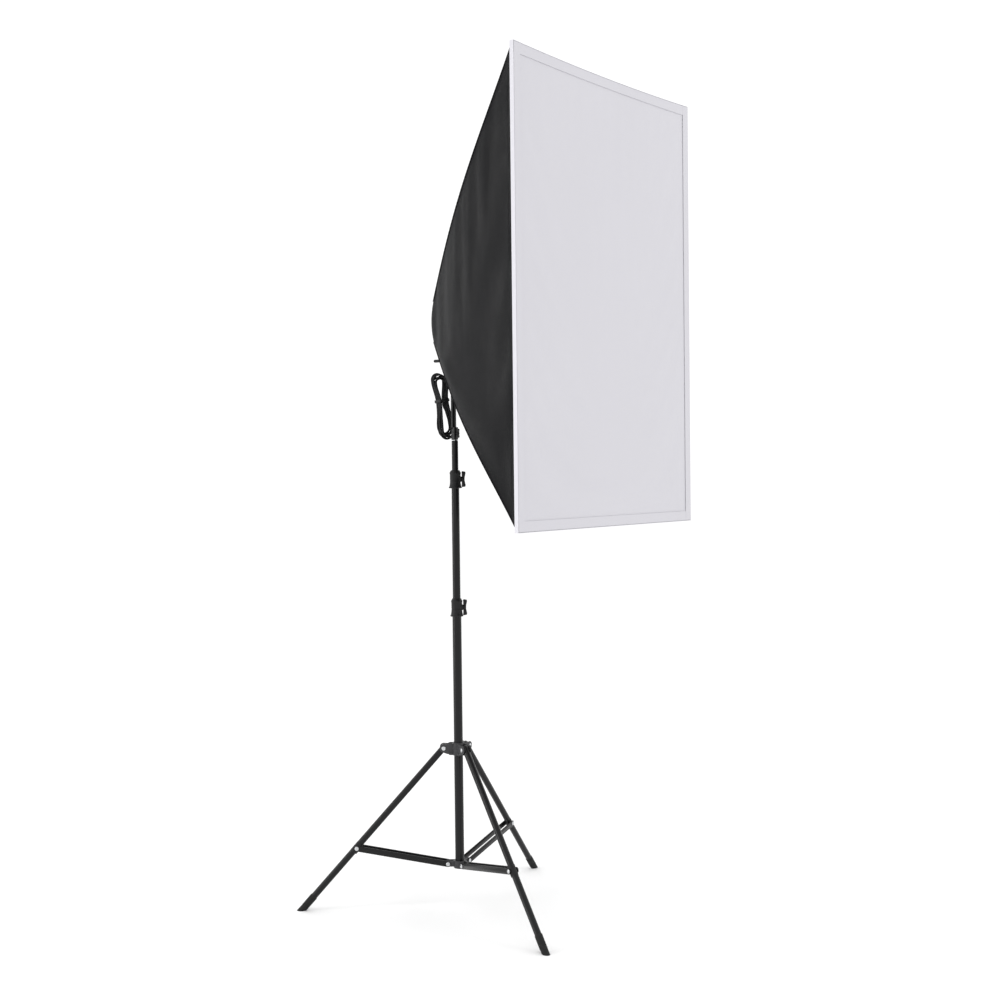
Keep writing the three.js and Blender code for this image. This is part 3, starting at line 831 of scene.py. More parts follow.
# The hank, in millimetres and degrees. Its turns lie in its own upright plane, a pitch apart, and some
# are a little shorter than others at the top and at the foot.
HANK_PLACE = (-30, 0, 1232.5)
HANK_LEAN = 7
HANK_MIDDLE = 28
HANK_TWIST = 25
HANK_REACH = 65.7
HANK_LOOP = 15.3
HANK_WAIST = 8.4
HANK_WAIST_Z = 13
HANK_START = 12.5
HANK_PITCH = 5.1
TOP_SLIPS = (0, 9, 4, 13, 2, 10)
FOOT_SLIPS = (4, 12, 0, 9, 14, 6)
PLUG_TOP = (-3, 64, 1193.2)


def hank_hang():
    """From the hank's own plane, with its thickness along Y, to its place beside the pole."""
    lean = Matrix.Rotation(-math.radians(HANK_LEAN), 4, "Y")
    twist = Matrix.Rotation(math.radians(HANK_TWIST), 4, "Z")
    depth = Matrix.Translation(Vector((0, HANK_MIDDLE, 0)) * MM)
    return Matrix.Translation(Vector(HANK_PLACE) * MM) @ lean @ depth @ twist @ depth.inverted()


def strand_half(z, top, foot):
    """Half the gap between a turn's two strands, which the tie draws in at the waist."""
    reach = top - HANK_WAIST_Z if z > HANK_WAIST_Z else foot + HANK_WAIST_Z
    share = min(1, abs(z - HANK_WAIST_Z) / reach)
    return HANK_WAIST + (HANK_LOOP - HANK_WAIST) * (1 - math.cos(math.pi * share)) / 2


def hank_turn(number):
    """One turn as (across, height) points: down the right strand, round, up the left, round."""
    top = HANK_REACH - TOP_SLIPS[number]
    foot = HANK_REACH - FOOT_SLIPS[number]
    after = HANK_REACH - TOP_SLIPS[(number + 1) % len(TOP_SLIPS)]
    down = [top - (top + foot) * i / 14 for i in range(1, 14)]
    up = [after - (after + foot) * i / 14 for i in range(13, 0, -1)]
    right = [(HANK_LOOP, top)] + [(strand_half(z, top, foot), z) for z in down]
    low = arc((0, -foot), HANK_LOOP, 0, -180, 10)
    left = [(-strand_half(z, after, foot), z) for z in up]
    return right + low + left + arc((0, after), HANK_LOOP, 180, 0, 10)[:-1]


def loosened(across, height, done):
    """A point of the hank, where the turns lie less evenly the further they are from the tie."""
    loose = min(1, abs(height - HANK_WAIST_Z) / 55) ** 2
    spread = 2.6 if height > HANK_WAIST_Z else 2.2
    depth = HANK_START + HANK_PITCH * done
    return Vector((across + spread * loose * math.sin(2.6 * done), depth, height)) * MM


def bend_across(start, end, steps=5):
    """Two equal arcs that carry a hanging cord across from one upright run to another."""
    side = end - start
    drop = -side.z
    side.z = 0
    angle = 2 * math.atan(side.length / drop)
    radius = drop / (2 * math.sin(angle))
    angles = [angle * i / steps for i in range(1, steps)]
    first = [(radius * (1 - math.cos(a)), radius * math.sin(a)) for a in angles]
    second = [(side.length - h, drop - v) for h, v in reversed(first)]
    return [start + side.normalized() * h - UP * v for h, v in first + second] + [end]


def cord_points(turns):
    """The lead's whole centreline, from the strain relief to the plug."""
    coil = []
    for number in range(turns):
        one = hank_turn(number)
        coil += [loosened(*spot, number + i / len(one)) for i, spot in enumerate(one)]
    for z in (HANK_REACH, 58, 50, 42, 34, 26, 18, 8):
        done = turns + 0.017 * (HANK_REACH - z) / 8
        coil.append(loosened(strand_half(z, HANK_REACH, HANK_REACH), z, done))
    beside = [hank_hang() @ spot for spot in coil]
    neck = (Vector(PLUG_TOP) + Vector((0, 0, 1))) * MM
    beside += bend_across(beside[-1], neck)
    beside.append(neck - UP * 0.004)
    return [POLE + Vector(p) * MM for p in LEAD_ROUTE] + [about_pole(KNOB_TURN) @ spot for spot in beside]


def smooth_line(points, spacing):
    """A smooth line through points, at even steps along it."""
    dense = []
    for i in range(len(points) - 1):
        a, b, c, d = (points[max(0, min(len(points) - 1, i + k))] for k in (-1, 0, 1, 2))
        for step in range(6):
            t = step / 6
            dense.append(0.5 * (2 * b + t * (c - a) + t**2 * (2 * a - 5 * b + 4 * c - d)
                                + t**3 * (3 * b - a - 3 * c + d)))
    dense.append(points[-1])
    even, due = [dense[0]], spacing
    gone = 0.0
    for here, there in zip(dense, dense[1:]):
        step = (there - here).length
        while gone + step >= due:
            even.append(here.lerp(there, (due - gone) / step))
            due += spacing
        gone += step
    even.append(dense[-1])
    return even


def tube_mesh(points, radius, around=14):
    """A closed tube along points, which grows ring by ring from a disc."""
    bm = bmesh.new()
    direction = (points[1] - points[0]).normalized()
    disc = bmesh.ops.create_circle(bm, cap_ends=True, segments=around, radius=radius)["verts"]
    turn = UP.rotation_difference(direction).to_matrix()
    bmesh.ops.rotate(bm, verts=disc, cent=(0, 0, 0), matrix=turn)
    bmesh.ops.translate(bm, verts=disc, vec=points[0])
    face = disc[0].link_faces[0]
    for i in range(1, len(points)):
        after = points[min(i + 1, len(points) - 1)]
        heading = (after - points[i - 1]).normalized()
        face = grow(bm, face)
        ring = list(face.verts)
        bmesh.ops.translate(bm, verts=ring, vec=points[i] - points[i - 1])
        turn = direction.rotation_difference(heading).to_matrix()
        bmesh.ops.rotate(bm, verts=ring, cent=points[i], matrix=turn)
        direction = heading
    bmesh.ops.recalc_face_normals(bm, faces=bm.faces)
    return bm


def grow(bm, face):
    """Extrudes one face and gives back the new end."""
    made = bmesh.ops.extrude_face_region(bm, geom=[face], use_keep_orig=False)["geom"]
    return next(g for g in made if isinstance(g, bmesh.types.BMFace))


class SOFTBOX_OT_lead(bpy.types.Operator):
    """Makes the strain relief, the lead with its tied hank, and the plug"""

    bl_idname = "softbox.lead"
    bl_label = "Lead and plug"

    def execute(self, context):
        settings = context.scene.softbox_lead
        relief = self.add_relief()
        plug = self.add_plug()
        tie = self.add_tie()
        points = smooth_line(cord_points(settings.turns), 2.5 * MM)
        tubed = temporary(tube_mesh(points, settings.diameter / 2), "lead")
        nodes = ["cord_lead", "cord_hank", "cord_tail"]
        lead = settle(tubed, "lead", None, "rubber", nodes, ["sheath"])
        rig.blend(lead, "lamp_head", "bracket", start=points[0], end=POLE + Vector(LEAD_ROUTE[-1]) * MM)
        whole = sum((b - a).length for a, b in zip(points, points[1:]))
        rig.cord(
            lead, exit=points[0], length=round(whole, 3), diameter=settings.diameter, far_end="plug",
            stiffness="medium", lay="coiled", path=points[::2] + points[-1:], with_pieces=[plug, tie, relief],
        )
        return {"FINISHED"}

    def add_relief(self):
        """A tapered rubber sleeve with rings cut into it."""
        x, top = -38, AXIS_Z / MM - 28.1
        rings = []
        for i in range(6):
            z, r = top - 8 - 3.6 * i, 5.3 - 0.33 * i
            rings += [(r, z), (r, z - 1.7), (r - 0.9, z - 2.0), (r - 0.9, z - 3.3)]
        collar = [(0, top + 1), (7, top + 1), (7, top - 2), (5.5, top - 3)]
        profile = collar + rings + [(3.3, top - 31), (2.6, top - 31.2), (0, top - 31.2)]
        bm = moved(turned(profile, 32), x=x)
        return piece_from(bm, "strain_relief_sleeve", "lamp_head", "rubber", "rubber", ["strain_relief"])

    def add_tie(self):
        """A flat strap wound round the waist of the hank."""
        z0, z1 = HANK_WAIST_Z - 3.5, HANK_WAIST_Z + 3.5
        outer = block((-13.2, 13.2), (8.4, 47.6), (z0, z1), 0)
        strap = cut(outer, block((-12.1, 12.1), (9.5, 46.5), (z0 - 4, z1 + 4), 0))
        corners = [e for e in strap.edges if abs((e.verts[0].co - e.verts[1].co).normalized().z) > 0.9]
        bmesh.ops.bevel(
            strap, geom=corners, offset=4 * MM, affect="EDGES", segments=5, profile=0.5, material=-1
        )
        buckle = block((-6, 4), (6.9, 8.6), (z0 - 0.6, z1 + 0.6), 0.5)
        bm = joined(strap, buckle)
        return piece_from(bm, "hank_tie", "bracket", "black_plastic", "rubber", ["cord_tie"],
                          about_pole(KNOB_TURN) @ hank_hang())

    def add_plug(self):
        """A flat two-pin plug with a ribbed neck, which hangs edge-on behind the strap."""
        outline = [(-9, -50), (9, -50), (13, -45), (13, -30), (7, -17), (-7, -17), (-13, -30), (-13, -45)]
        body = plate(outline, -6.5, 6.5, 1.6, over=20)
        neck = [rod(4.6 - 0.25 * i, -17.6 + 3 * i, -15.4 + 3 * i, 0.4, 24) for i in range(5)]
        pins = [moved(rod(2, -69, -49, 1.2, 20), x=side * 9.5) for side in (-1, 1)]
        hung = Matrix.Translation(Vector(PLUG_TOP) * MM) @ Matrix.Rotation(math.pi / 2, 4, "Z")
        place = about_pole(KNOB_TURN) @ hung
        whole = joined(body, rod(3.2, -20, -0.2, 0.3, 24), *neck)
        plug = piece_from(whole, "mains_plug", "bracket", "black_plastic", "moulding", ["plug"], place)
        prongs = piece_from(joined(*pins), "plug_pins", "bracket", "steel", "zinc", (), place)
        prongs.parent = plug
        return plug


# ---------- stand ----------
class SOFTBOX_OT_column(bpy.types.Operator):
    """Makes the three telescopic tubes, their glides and the stud"""

    bl_idname = "softbox.column"
    bl_label = "Column"

    def execute(self, context):
        tubes = {"lower_tube": "stand_base", "middle_tube": "middle_column", "top_tube": "top_column"}
        for node, body in tubes.items():
            radius, base, top = self.round_size(node)
            bm = tube(radius, radius - TUBE_WALL, base, top)
            piece_from(bm, node + "_painted", body, "black_metal", "tube", [node])
        for node, body in (("middle_tube_glide", "middle_column"), ("top_tube_glide", "top_column")):
            radius, base, _ = self.round_size(node)
            plug = radius - 1.5
            profile = [
                (plug - 2, base), (radius - 0.5, base), (radius, base + 0.5), (radius, base + 2.7),
                (plug, base + 3), (plug, base + 15), (plug - 0.6, base + 15.3), (plug - 2, base + 15.3),
                (plug - 2, base),
            ]
            piece_from(turned(profile), node + "_moulded", body, "black_plastic", "moulding", [node])
        self.add_stud()
        return {"FINISHED"}

    def round_size(self, node):
        """Radius, foot and top of a round node, in millimetres."""
        low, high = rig.box(node)
        return (high.x - low.x) / 2 / MM, low.z / MM, high.z / MM

    def add_stud(self):
        _, foot, tip = self.round_size("stand_stud")
        top = span("top_tube", "z")[1] / MM
        profile = [
            (0, foot), (6.2, foot), (6.2, top), (7.6, top + 0.3), (8.3, top + 0.9),
            (8.3, top + 2.3), (7.7, top + 2.9), (3, top + 2.9), (3, tip - 1), (2.2, tip), (0, tip),
        ]
        piece_from(turned(profile), "stud_turned", "top_column", "steel", "zinc", ["stand_stud"])


class SOFTBOX_OT_locks(bpy.types.Operator):
    """Makes the two clamping collars and their winged knobs"""

    bl_idname = "softbox.locks"
    bl_label = "Clamping collars"

    def execute(self, context):
        self.add_lock("lower", "stand_base", "lower_knob", 11, 9.5)
        self.add_lock("upper", "middle_column", "upper_knob", 9.5, 8)
        return {"FINISHED"}

    def add_lock(self, which, collar_body, knob_body, below, above):
        low, high = span(which + "_lock_collar", "z")
        z = (low + high) / 2 / MM
        place = about_pole(KNOB_TURN)
        node = which + "_lock_collar"
        collar = piece_from(
            self.collar(below, above, z), node + "_moulded", collar_body, "black_plastic", "moulding",
            [node], place,
        )
        screw = joined(
            along_x(moved(rod(3.4, 14.2, 16, 0.4, 6), x=-z)),
            along_x(moved(rod(2.2, 9, 16, 0.3, 24), x=-z)),
        )
        pin = piece_from(screw, which + "_lock_screw", collar_body, "steel", "zinc", (), place)
        pin.parent = collar
        piece_from(
            self.knob(z), which + "_knob_moulded", knob_body, "black_plastic", "moulding",
            [which + "_lock_knob"], place,
        )

    def collar(self, below, above, z):
        """A clamping collar round two tubes, with a finned lug on one side and ears on the other."""
        outer = turned([
            (below + 0.3, z - 22), (15, z - 22), (16, z - 21), (16, z - 19.5), (14.6, z - 17.6),
            (13.2, z - 9), (13.2, z - 5), (12.6, z - 4.4), (12.6, z - 3), (13.2, z - 2.4), (13.2, z + 12),
            (13.8, z + 13),
            (13.8, z + 16), (13, z + 17.2), (11.2, z + 21.4), (10.4, z + 22), (above + 0.3, z + 22),
            (above + 0.3, z + 10), (below + 0.3, z + 8), (below + 0.3, z - 22),
        ])
        fin = [(-9, 16.5), (-14, 15.2), (-19.5, 11.5), (-25, 4.5)]
        fin += [*arc((-27.4, -2.6), 2.2, 30, -110, 4), (-18, -4.6), (-9, -4)]
        window = [(-14.6, 9.6), (-18.4, 6.8), (-23, 0.6), (-21.8, -1), (-14.6, -1)]
        lug = cut(plate(fin, -2.8, 2.8, 0.7), plate(window, -5, 5, 0))
        rib = plate([(-9, 15), (-12.6, 15), (-12.6, -18), (-9, -20)], -3.6, 3.6, 0.8)
        boss = turned([(0, 9), (7.6, 9), (7.6, 11), (6.6, 14), (6.2, 15), (0, 15)], 32)
        ears = block((8, 15.2), (-7.4, 7.4), (-7, 7), 1.6)
        parts = [moved(lug, z=z), moved(rib, z=z), moved(along_x(boss), z=z), moved(ears, z=z)]
        shaped = [cut(part, rod(below + 0.6, z - 40, z + 40, 0)) for part in parts]
        return joined(outer, *shaped)

    def knob(self, z):
        """Two broad wings above and below a ribbed hub."""
        wing = [(15.8, 2), (15.8, 13), *arc((18, 17), 2.6, 190, 60, 5)]
        wing += [(24.8, 18.2), (25.2, 14), (23.4, 6), (22.6, 2)]
        lower = [(x, -height) for x, height in reversed(wing)]
        hub = along_x(turned([(0, 15.3), (5.6, 15.3), (6.2, 16), (6.2, 21.8), (5.4, 22.8), (0, 23)], 32))
        rib = ((15.6, 21.6), (-0.7, 0.7), (5.4, 6.9), 0.2)
        ribs = [swung(block(*rib), 30 + 40 * i, "X") for i in range(9)]
        parts = [plate(wing, -2.8, 2.8, 1.1, 25), plate(lower, -2.8, 2.8, 1.1, 25), hub, *ribs]
        return joined(*[moved(part, z=z) for part in parts])


class SOFTBOX_OT_hubs(bpy.types.Operator):
    """Makes the sliding leg hub with its knob, and the brace hub"""

    bl_idname = "softbox.hubs"
    bl_label = "Hubs"

    def execute(self, context):
        self.add_leg_hub()
        self.add_hub_knob()
        self.add_brace_hub()
        return {"FINISHED"}

    def add_leg_hub(self):
        """A ribbed barrel that slides on the pole, with a forked ear for each leg."""
        z, bore = HUB_Z, 11.4
        barrel = turned([
            (bore, z - 17), (17, z - 17), (18, z - 16), (18, z - 11), (17, z - 10), (17, z - 1), (18.2, z),
            (18.2, z + 3.4), (17, z + 4.4), (16.6, z + 8), (14.4, z + 12), (13.4, z + 13), (bore, z + 13),
            (bore, z - 17),
        ])
        ear = [(13, z - 15), (27, z - 14), *arc((LEG_PIVOT, z), 10, -62, 90, 8)]
        ear += [(26, z + 9), (22, z + 11.6), (13, z + 11.6)]
        web = [(14, z - 13.6), (24, z - 12.6), (24, z - 9.6), (14, z - 9)]
        bridge = [(12, z - 16.6), (23, z - 16.4), (23, z - 13.6), (12, z - 13)]
        parts = []
        for turn in LEG_TURNS:
            fork = []
            for near, far in ((8.6, 11.8), (-11.8, -8.6)):
                fork.append(plate(ear, near, far, 0.8, 30))
                fork.append(plate(web, near - 1.4, far + 1.4, 0.6))
            fork.append(plate(bridge, -11.8, 11.8, 0.6))
            parts += [swung(part, math.degrees(turn), "Z") for part in fork]
        boss = along_x(turned([(0, 15), (7.2, 15), (6.4, 20.6), (5.8, 21.2), (0, 21.2)], 32))
        parts.append(swung(moved(boss, z=z), math.degrees(KNOB_TURN), "Z"))
        open_parts = [cut(part, rod(bore + 0.3, z - 40, z + 40, 0)) for part in parts]
        whole = joined(barrel, *open_parts)
        piece_from(whole, "leg_hub_cast", "leg_hub", "black_plastic", "casting", ["leg_hub"])

    def add_hub_knob(self):
        lower = [(22.6, -12), (24.6, -13.2), (30, -12.8), (31, -11)]
        blade = lower + [(x, -height) for x, height in reversed(lower)]
        paddle = swung(plate(blade, -2.4, 2.4, 1.0), 90, "X")
        hub = along_x(turned([(0, 21.4), (5.4, 21.4), (5.9, 22), (5.9, 28.4), (5, 29.2), (0, 29.4)], 32))
        stem = along_x(rod(2.4, 12, 24, 0.2, 24))
        piece_from(
            moved(joined(paddle, hub, stem), z=HUB_Z), "hub_knob_moulded", "hub_knob", "black_plastic",
            "moulding", ["leg_hub_knob"], about_pole(KNOB_TURN),
        )

    def add_brace_hub(self):
        """A cup on the foot of the pole, with a pair of lugs for each brace."""
        r, z = BRACE_PIVOT, BRACE_HUB_Z
        cup = turned([
            (0, z - 11.4), (14, z - 11.4), (15, z - 10.4), (15.4, z - 4), (16.4, z - 3), (16.4, z + 4),
            (15.6, z + 6), (14.8, z + 7), (11.3, z + 7), (11.3, z - 8), (0, z - 8),
        ])
        lug = [(12, z - 7), (r - 4, z - 7), *arc((r, z), 7, -90, 90, 8), (r - 4, z + 7), (12, z + 7)]
        parts = []
        for turn in LEG_TURNS:
            spoke = [plate(lug, near, far, 0.7, 30) for near, far in ((-9.2, -5.4), (5.4, 9.2))]
            spoke.append(block((12, r - 2), (-6, 6), (z - 6, z - 1), 0.6))
            spoke.append(moved(along_y(rod(4.6, -9, 9, 0.3, 24)), x=r, z=z))
            parts += [swung(part, math.degrees(turn), "Z") for part in spoke]
        open_parts = [cut(part, rod(11.9, z - 8, z + 40, 0)) for part in parts]
        whole = joined(cup, *open_parts)
        piece_from(whole, "brace_hub_cast", "stand_base", "black_plastic", "casting", ["brace_hub"])


def rivet(x, z, side):
    """A pin along Y with a domed head at each end and a dimple in each head."""
    head = [(0, 1.0), (1.5, 1.0), (2.0, 1.5), (3.6, 1.35), (4.7, 0.8), (5.1, 0.2), (5.1, 0)]
    near = [(r, side + h) for r, h in head]
    far = [(r, -side - h) for r, h in reversed(head)]
    return moved(along_y(turned(near + [(3, side), (3, -side)] + far, 32)), x=x, z=z)


class SOFTBOX_OT_legs(bpy.types.Operator):
    """Makes the three legs with their feet, and the rivets that hold them"""

    bl_idname = "softbox.legs"
    bl_label = "Legs"

    def execute(self, context):
        reach = FOOT_REACH - LEG_PIVOT
        self.spread = math.degrees(math.atan2(reach, HUB_Z))
        self.whole = math.hypot(reach, HUB_Z)
        end = 30 - self.whole
        for number, turn in enumerate(LEG_TURNS, 1):
            place = about_pole(turn)
            bm = turned([
                (0, 11), (3.4, 10.6), (6.2, 9), (7.7, 6.2), (8, 4), (8, end + 0.3), (7.7, end), (6.8, end),
                (6.8, -20), (0, -20),
            ])
            piece_from(
                self.lean(bm), f"leg_{number}_painted", f"leg_{number}", "black_metal", "tube",
                [f"leg_tube_{number}"], place,
            )
            self.add_foot(number, end, place)
            piece_from(
                rivet(LEG_PIVOT, HUB_Z, 12.1), f"leg_rivet_{number}_plated", "leg_hub", "steel", "zinc",
                [f"leg_rivet_{number}"], place,
            )
            self.add_brace_pin(number, place)
        return {"FINISHED"}

    def lean(self, bm, x=LEG_PIVOT, z=HUB_Z):
        return moved(swung(bm, -self.spread, "Y"), x=x, z=z)

    def add_foot(self, number, end, place):
        """A ribbed rubber cup round the leg's end, cut off level with the floor."""
        top, tip = end + 16, -self.whole - 15
        rings = []
        for i in range(3):
            z = end - 4 - 5 * i
            rings += [(9.1, z), (9.1, z - 3), (8.6, z - 3.4), (8.6, z - 4.6)]
        cap = self.lean(turned([
            (8.15, end - 0.3), (8.15, top), (8.7, top), (9.1, top - 0.5), *rings, (9.1, tip), (0, tip),
            (0, end - 0.3), (8.15, end - 0.3),
        ]))
        geometry = cap.verts[:] + cap.edges[:] + cap.faces[:]
        sole = bmesh.ops.bisect_plane(
            cap, geom=geometry, dist=1e-7, plane_co=(0, 0, 0), plane_no=(0, 0, -1), clear_outer=True
        )
        rim = [g for g in sole["geom_cut"] if isinstance(g, bmesh.types.BMEdge)]
        bmesh.ops.contextual_create(cap, geom=rim)
        bmesh.ops.recalc_face_normals(cap, faces=cap.faces)
        name = f"foot_{number}"
        piece_from(cap, name + "_moulded", f"leg_{number}", "rubber", "rubber", [name], place)

    def add_brace_pin(self, number, place):
        """The pin through the leg and the brace's two bars, and its sleeve. Both ride on the leg."""
        slope = math.radians(BRACE_SLOPE)
        x = BRACE_PIVOT + BRACE_LENGTH * math.cos(slope)
        z = BRACE_HUB_Z + BRACE_LENGTH * math.sin(slope)
        sleeve = [(8.1, -13), (8.7, -13), (9.2, -12.4), (9.2, 12.4), (8.7, 13), (8.1, 13), (8.1, -13)]
        saddle = self.lean(turned(sleeve, 40), x, z)
        body = f"leg_{number}"
        piece_from(rivet(x, z, 12.0), f"brace_pin_{number}", body, "steel", "zinc", (), place)
        piece_from(saddle, f"leg_saddle_{number}", body, "black_plastic", "moulding", (), place)


class SOFTBOX_OT_braces(bpy.types.Operator):
    """Makes the three braces, each of two flat bars, and their inner rivets"""

    bl_idname = "softbox.braces"
    bl_label = "Braces"

    def execute(self, context):
        long, half = BRACE_LENGTH, 7
        outline = arc((0, 0), half, 90, 270, 10) + arc((long, 0), half, -90, 90, 10)
        bead = [(14, -2.6), (long - 14, -2.6), (long - 14, 2.6), (14, 2.6)]
        for number, turn in enumerate(LEG_TURNS, 1):
            place = about_pole(turn)
            for side, near, outer in (("left", 9.6, 11.6), ("right", -11.6, -11.6)):
                flat = plate(outline, near, near + 2, 0.35, 50)
                bar = joined(flat, plate(bead, outer - 0.45, outer + 0.45, 0.4, 50))
                name = f"brace_{number}_{side}"
                piece_from(
                    moved(swung(bar, -BRACE_SLOPE, "Y"), x=BRACE_PIVOT, z=BRACE_HUB_Z), name + "_painted",
                    f"brace_{number}", "black_metal", "tube", [name], place,
                )
            name = f"brace_rivet_{number}"
            piece_from(
                rivet(BRACE_PIVOT, BRACE_HUB_Z, 11.9), name + "_plated", "stand_base", "steel", "zinc",
                [name], place,
            )
        return {"FINISHED"}


class SOFTBOX_OT_bracket(bpy.types.Operator):
    """Makes the bracket, its clamp screw, the tilt bolt and the tilt handle"""

    bl_idname = "softbox.bracket"
    bl_label = "Tilt bracket"

    def execute(self, context):
        z0, tilt_x, tilt_z = span("tilt_bracket", "z")[0] / MM, TILT.x / MM, TILT.z / MM
        strap = block((-6, 0), (-7, 7), (z0 + 24, tilt_z), 0.8)
        rib = block((-0.4, 1.4), (-2.2, 2.2), (z0 + 28, tilt_z - 14), 0.7)
        socket = cut(block((-6, 6), (-7, 7), (z0, z0 + 30.7), 1.6), rod(3.2, z0 - 2, z0 + 24, 0))
        barrel = turned([(0, -7), (7.4, -7), (8, -6.4), (8, 6.4), (7.4, 7), (0, 7)], 48)
        knuckle = moved(along_y(barrel), x=tilt_x, z=tilt_z)
        piece_from(
            joined(strap, rib, socket, knuckle), "bracket_painted", "bracket", "black_metal", "tube",
            ["tilt_bracket"],
        )
        self.add_screw(z0 + 15.35)
        self.add_bolt(tilt_x, tilt_z)
        self.add_handle(tilt_x, tilt_z)
        return {"FINISHED"}

    def add_screw(self, z):
        wing = [(9.4, 0), (9.0, 5.6), *arc((12.2, 8.6), 2.6, 200, 20, 6), (13.6, 0)]
        lower = [(x, -height) for x, height in reversed(wing)]
        head = [(0, 6.4), (4.2, 6.4), (4.2, 7.4), (3.6, 8.6), (3.6, 12), (2.8, 13), (0, 13.2)]
        hub = along_x(turned(head, 32))
        stem = along_x(rod(2, 2, 9, 0.2, 24))
        bm = joined(plate(wing, -1.4, 1.4, 0.6, 25), plate(lower, -1.4, 1.4, 0.6, 25), hub, stem)
        piece_from(moved(bm, z=z), "wing_screw_painted", "socket_screw", "steel", "tube", ["socket_screw"])

    def add_bolt(self, x, z):
        shank = rod(3, -21, 15, 0.4, 32)
        head = soften(rod(6.4, 12.9, 16.9, 0.4, 6), 0.3)
        washer = tube(7.2, 3.1, 12.5, 13.1, 0.15)
        bm = moved(along_y(joined(shank, head, washer)), x=x, z=z)
        piece_from(bm, "tilt_bolt_plated", "bracket", "steel", "zinc", ["tilt_bolt"])

    def add_handle(self, x, z):
        hub = along_y(turned([
            (0, -26.4), (6.4, -26.4), (7.6, -25.2), (8, -24), (8, -19), (7, -18), (6.6, -13.4), (6, -12.8),
            (0, -12.8),
        ], 40))
        arm = [(6, 2.6), (-14, 3.6), *arc((-36.6, 0), 3.6, 100, 260, 8), (-14, -3.6), (6, -2.6)]
        lever = plate(arm, -26, -19.4, 1.4, 25)
        bm = moved(joined(hub, lever), x=x, z=z)
        piece_from(bm, "tilt_handle_moulded", "tilt_handle", "black_plastic", "moulding", ["tilt_handle"])


class SOFTBOX_OT_holder(bpy.types.Operator):
    """Makes the lamp holder's housing, the rod plate and the lamp socket"""

    bl_idname = "softbox.holder"
    bl_label = "Lamp holder"

    def execute(self, context):
        self.add_housing()
        self.add_plate()
        self.add_socket()
        return {"FINISHED"}

    def add_housing(self):
        """A barrel with slots in its back, and two cheeks that straddle the bracket."""
        z, back = AXIS_Z / MM, HOUSING_BACK / MM
        barrel = turned([
            (0, back), (14, back), (14.6, back + 0.8), (19.4, back + 0.8), (20, back), (23, back),
            (26, back + 1.6), (28, back + 5), (28, back + 12), (27.4, back + 12.6), (27.4, back + 14),
            (28, back + 14.6), (28, 18), (0, 18),
        ])
        slot = ((back - 2, back + 2), (-1.1, 1.1), (4, 16), 0)
        slots = [moved(swung(block(*slot), 45 * i + 22.5, "X"), z=z) for i in range(8)]
        body = cut(moved(along_x(barrel), z=z), *slots)
        x, low = TILT.x / MM, TILT.z / MM
        cheek = [(x - 10, z - 22), (x - 10, low), *arc((x, low), 10, 180, 360, 12), (x + 10, z - 22)]
        parts = [plate(cheek, near, near + 4.9, 0.9, 30) for near in (-12.3, 7.4)]
        for a, b in ((7.3, 12.5), (-12.5, -7.3)):
            boss = turned([(3.1, a), (6.8, a), (6.8, b), (3.1, b), (3.1, a)], 40)
            parts.append(moved(along_y(boss), x=x, z=low))
        for y in (-12.3, 12.3):
            parts.append(block((x - 2, x + 2), (y - 0.7, y + 0.7), (low + 11, z - 24), 0.6))
        housing = piece_from(
            joined(body, *parts), "holder_moulded", "lamp_head", "black_plastic", "holder", ["lamp_housing"]
        )
        screws = []
        for i in range(3):
            head = turned([(0, 1.0), (1.0, 1.0), (1.0, 1.8), (2.8, 1.5), (3.2, 0.8), (3.2, 0), (0, 0)], 24)
            screws.append(swung(moved(swung(head, -90, "Y"), x=back + 0.8, z=17), 120 * i, "X"))
        fixing = piece_from(moved(joined(*screws), z=z), "holder_screws", "lamp_head", "steel", "zinc")
        fixing.parent = housing

    def add_plate(self):
        low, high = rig.box("rib_plate")
        z = AXIS_Z / MM
        x0, x1 = (low.x - POLE.x) / MM, (high.x - POLE.x) / MM
        half, corner = 58, 9
        outline = []
        for cx, cz, start in ((1, 1, 0), (-1, 1, 90), (-1, -1, 180), (1, -1, 270)):
            outline += arc((cx * (half - corner), cz * (half - corner)), corner, start, start + 90, 6)
        sheet = moved(swung(plate(outline, x0, x1 - 2, 0.6), -90, "Z"), z=z)
        bm = cut(sheet, moved(along_x(rod(22, x0 - 5, x1 + 9, 0)), z=z))
        cup = [(2.6, x1 - 3), (5.4, x1 - 3), (5, x1 + 1.6), (2.6, x1 + 1.6), (2.6, x1 - 3)]
        cups = []
        for y in (-48, 48):
            for height in (-48, 48):
                cups.append(moved(along_x(turned(cup, 32)), y=y, z=z + height))
        whole = joined(bm, *cups)
        piece_from(whole, "rod_plate_moulded", "lamp_head", "black_plastic", "moulding", ["rib_plate"])

    def add_socket(self):
        z, start = AXIS_Z / MM, 18.3
        cup = moved(along_x(turned([
            (0, start), (20, start), (21, start + 1), (21, start + 8), (20.2, start + 9), (20.2, start + 12),
            (21, start + 13), (21, start + 34), (20, start + 38), (18.4, start + 39.7), (15.6, start + 39.7),
            (15, start + 39), (15, start + 11.7), (0, start + 11.7),
        ])), z=z)
        piece_from(cup, "socket_glazed", "lamp_head", "ceramic", "ceramic", ["lamp_socket"])
        thread = []
        for i in range(12):
            at = start + 13 + 2.1 * i
            thread += [(14.1, at), (14.6, at + 1.05)]
        back, mouth = start + 12.2, start + 38.6
        wall = [(14.7, back), *thread, (14.7, mouth), (14.9, mouth), (14.9, back), (14.7, back)]
        shell = moved(along_x(turned(wall)), z=z)
        piece_from(shell, "socket_thread", "lamp_head", "brass", "brass", ["socket_shell"])


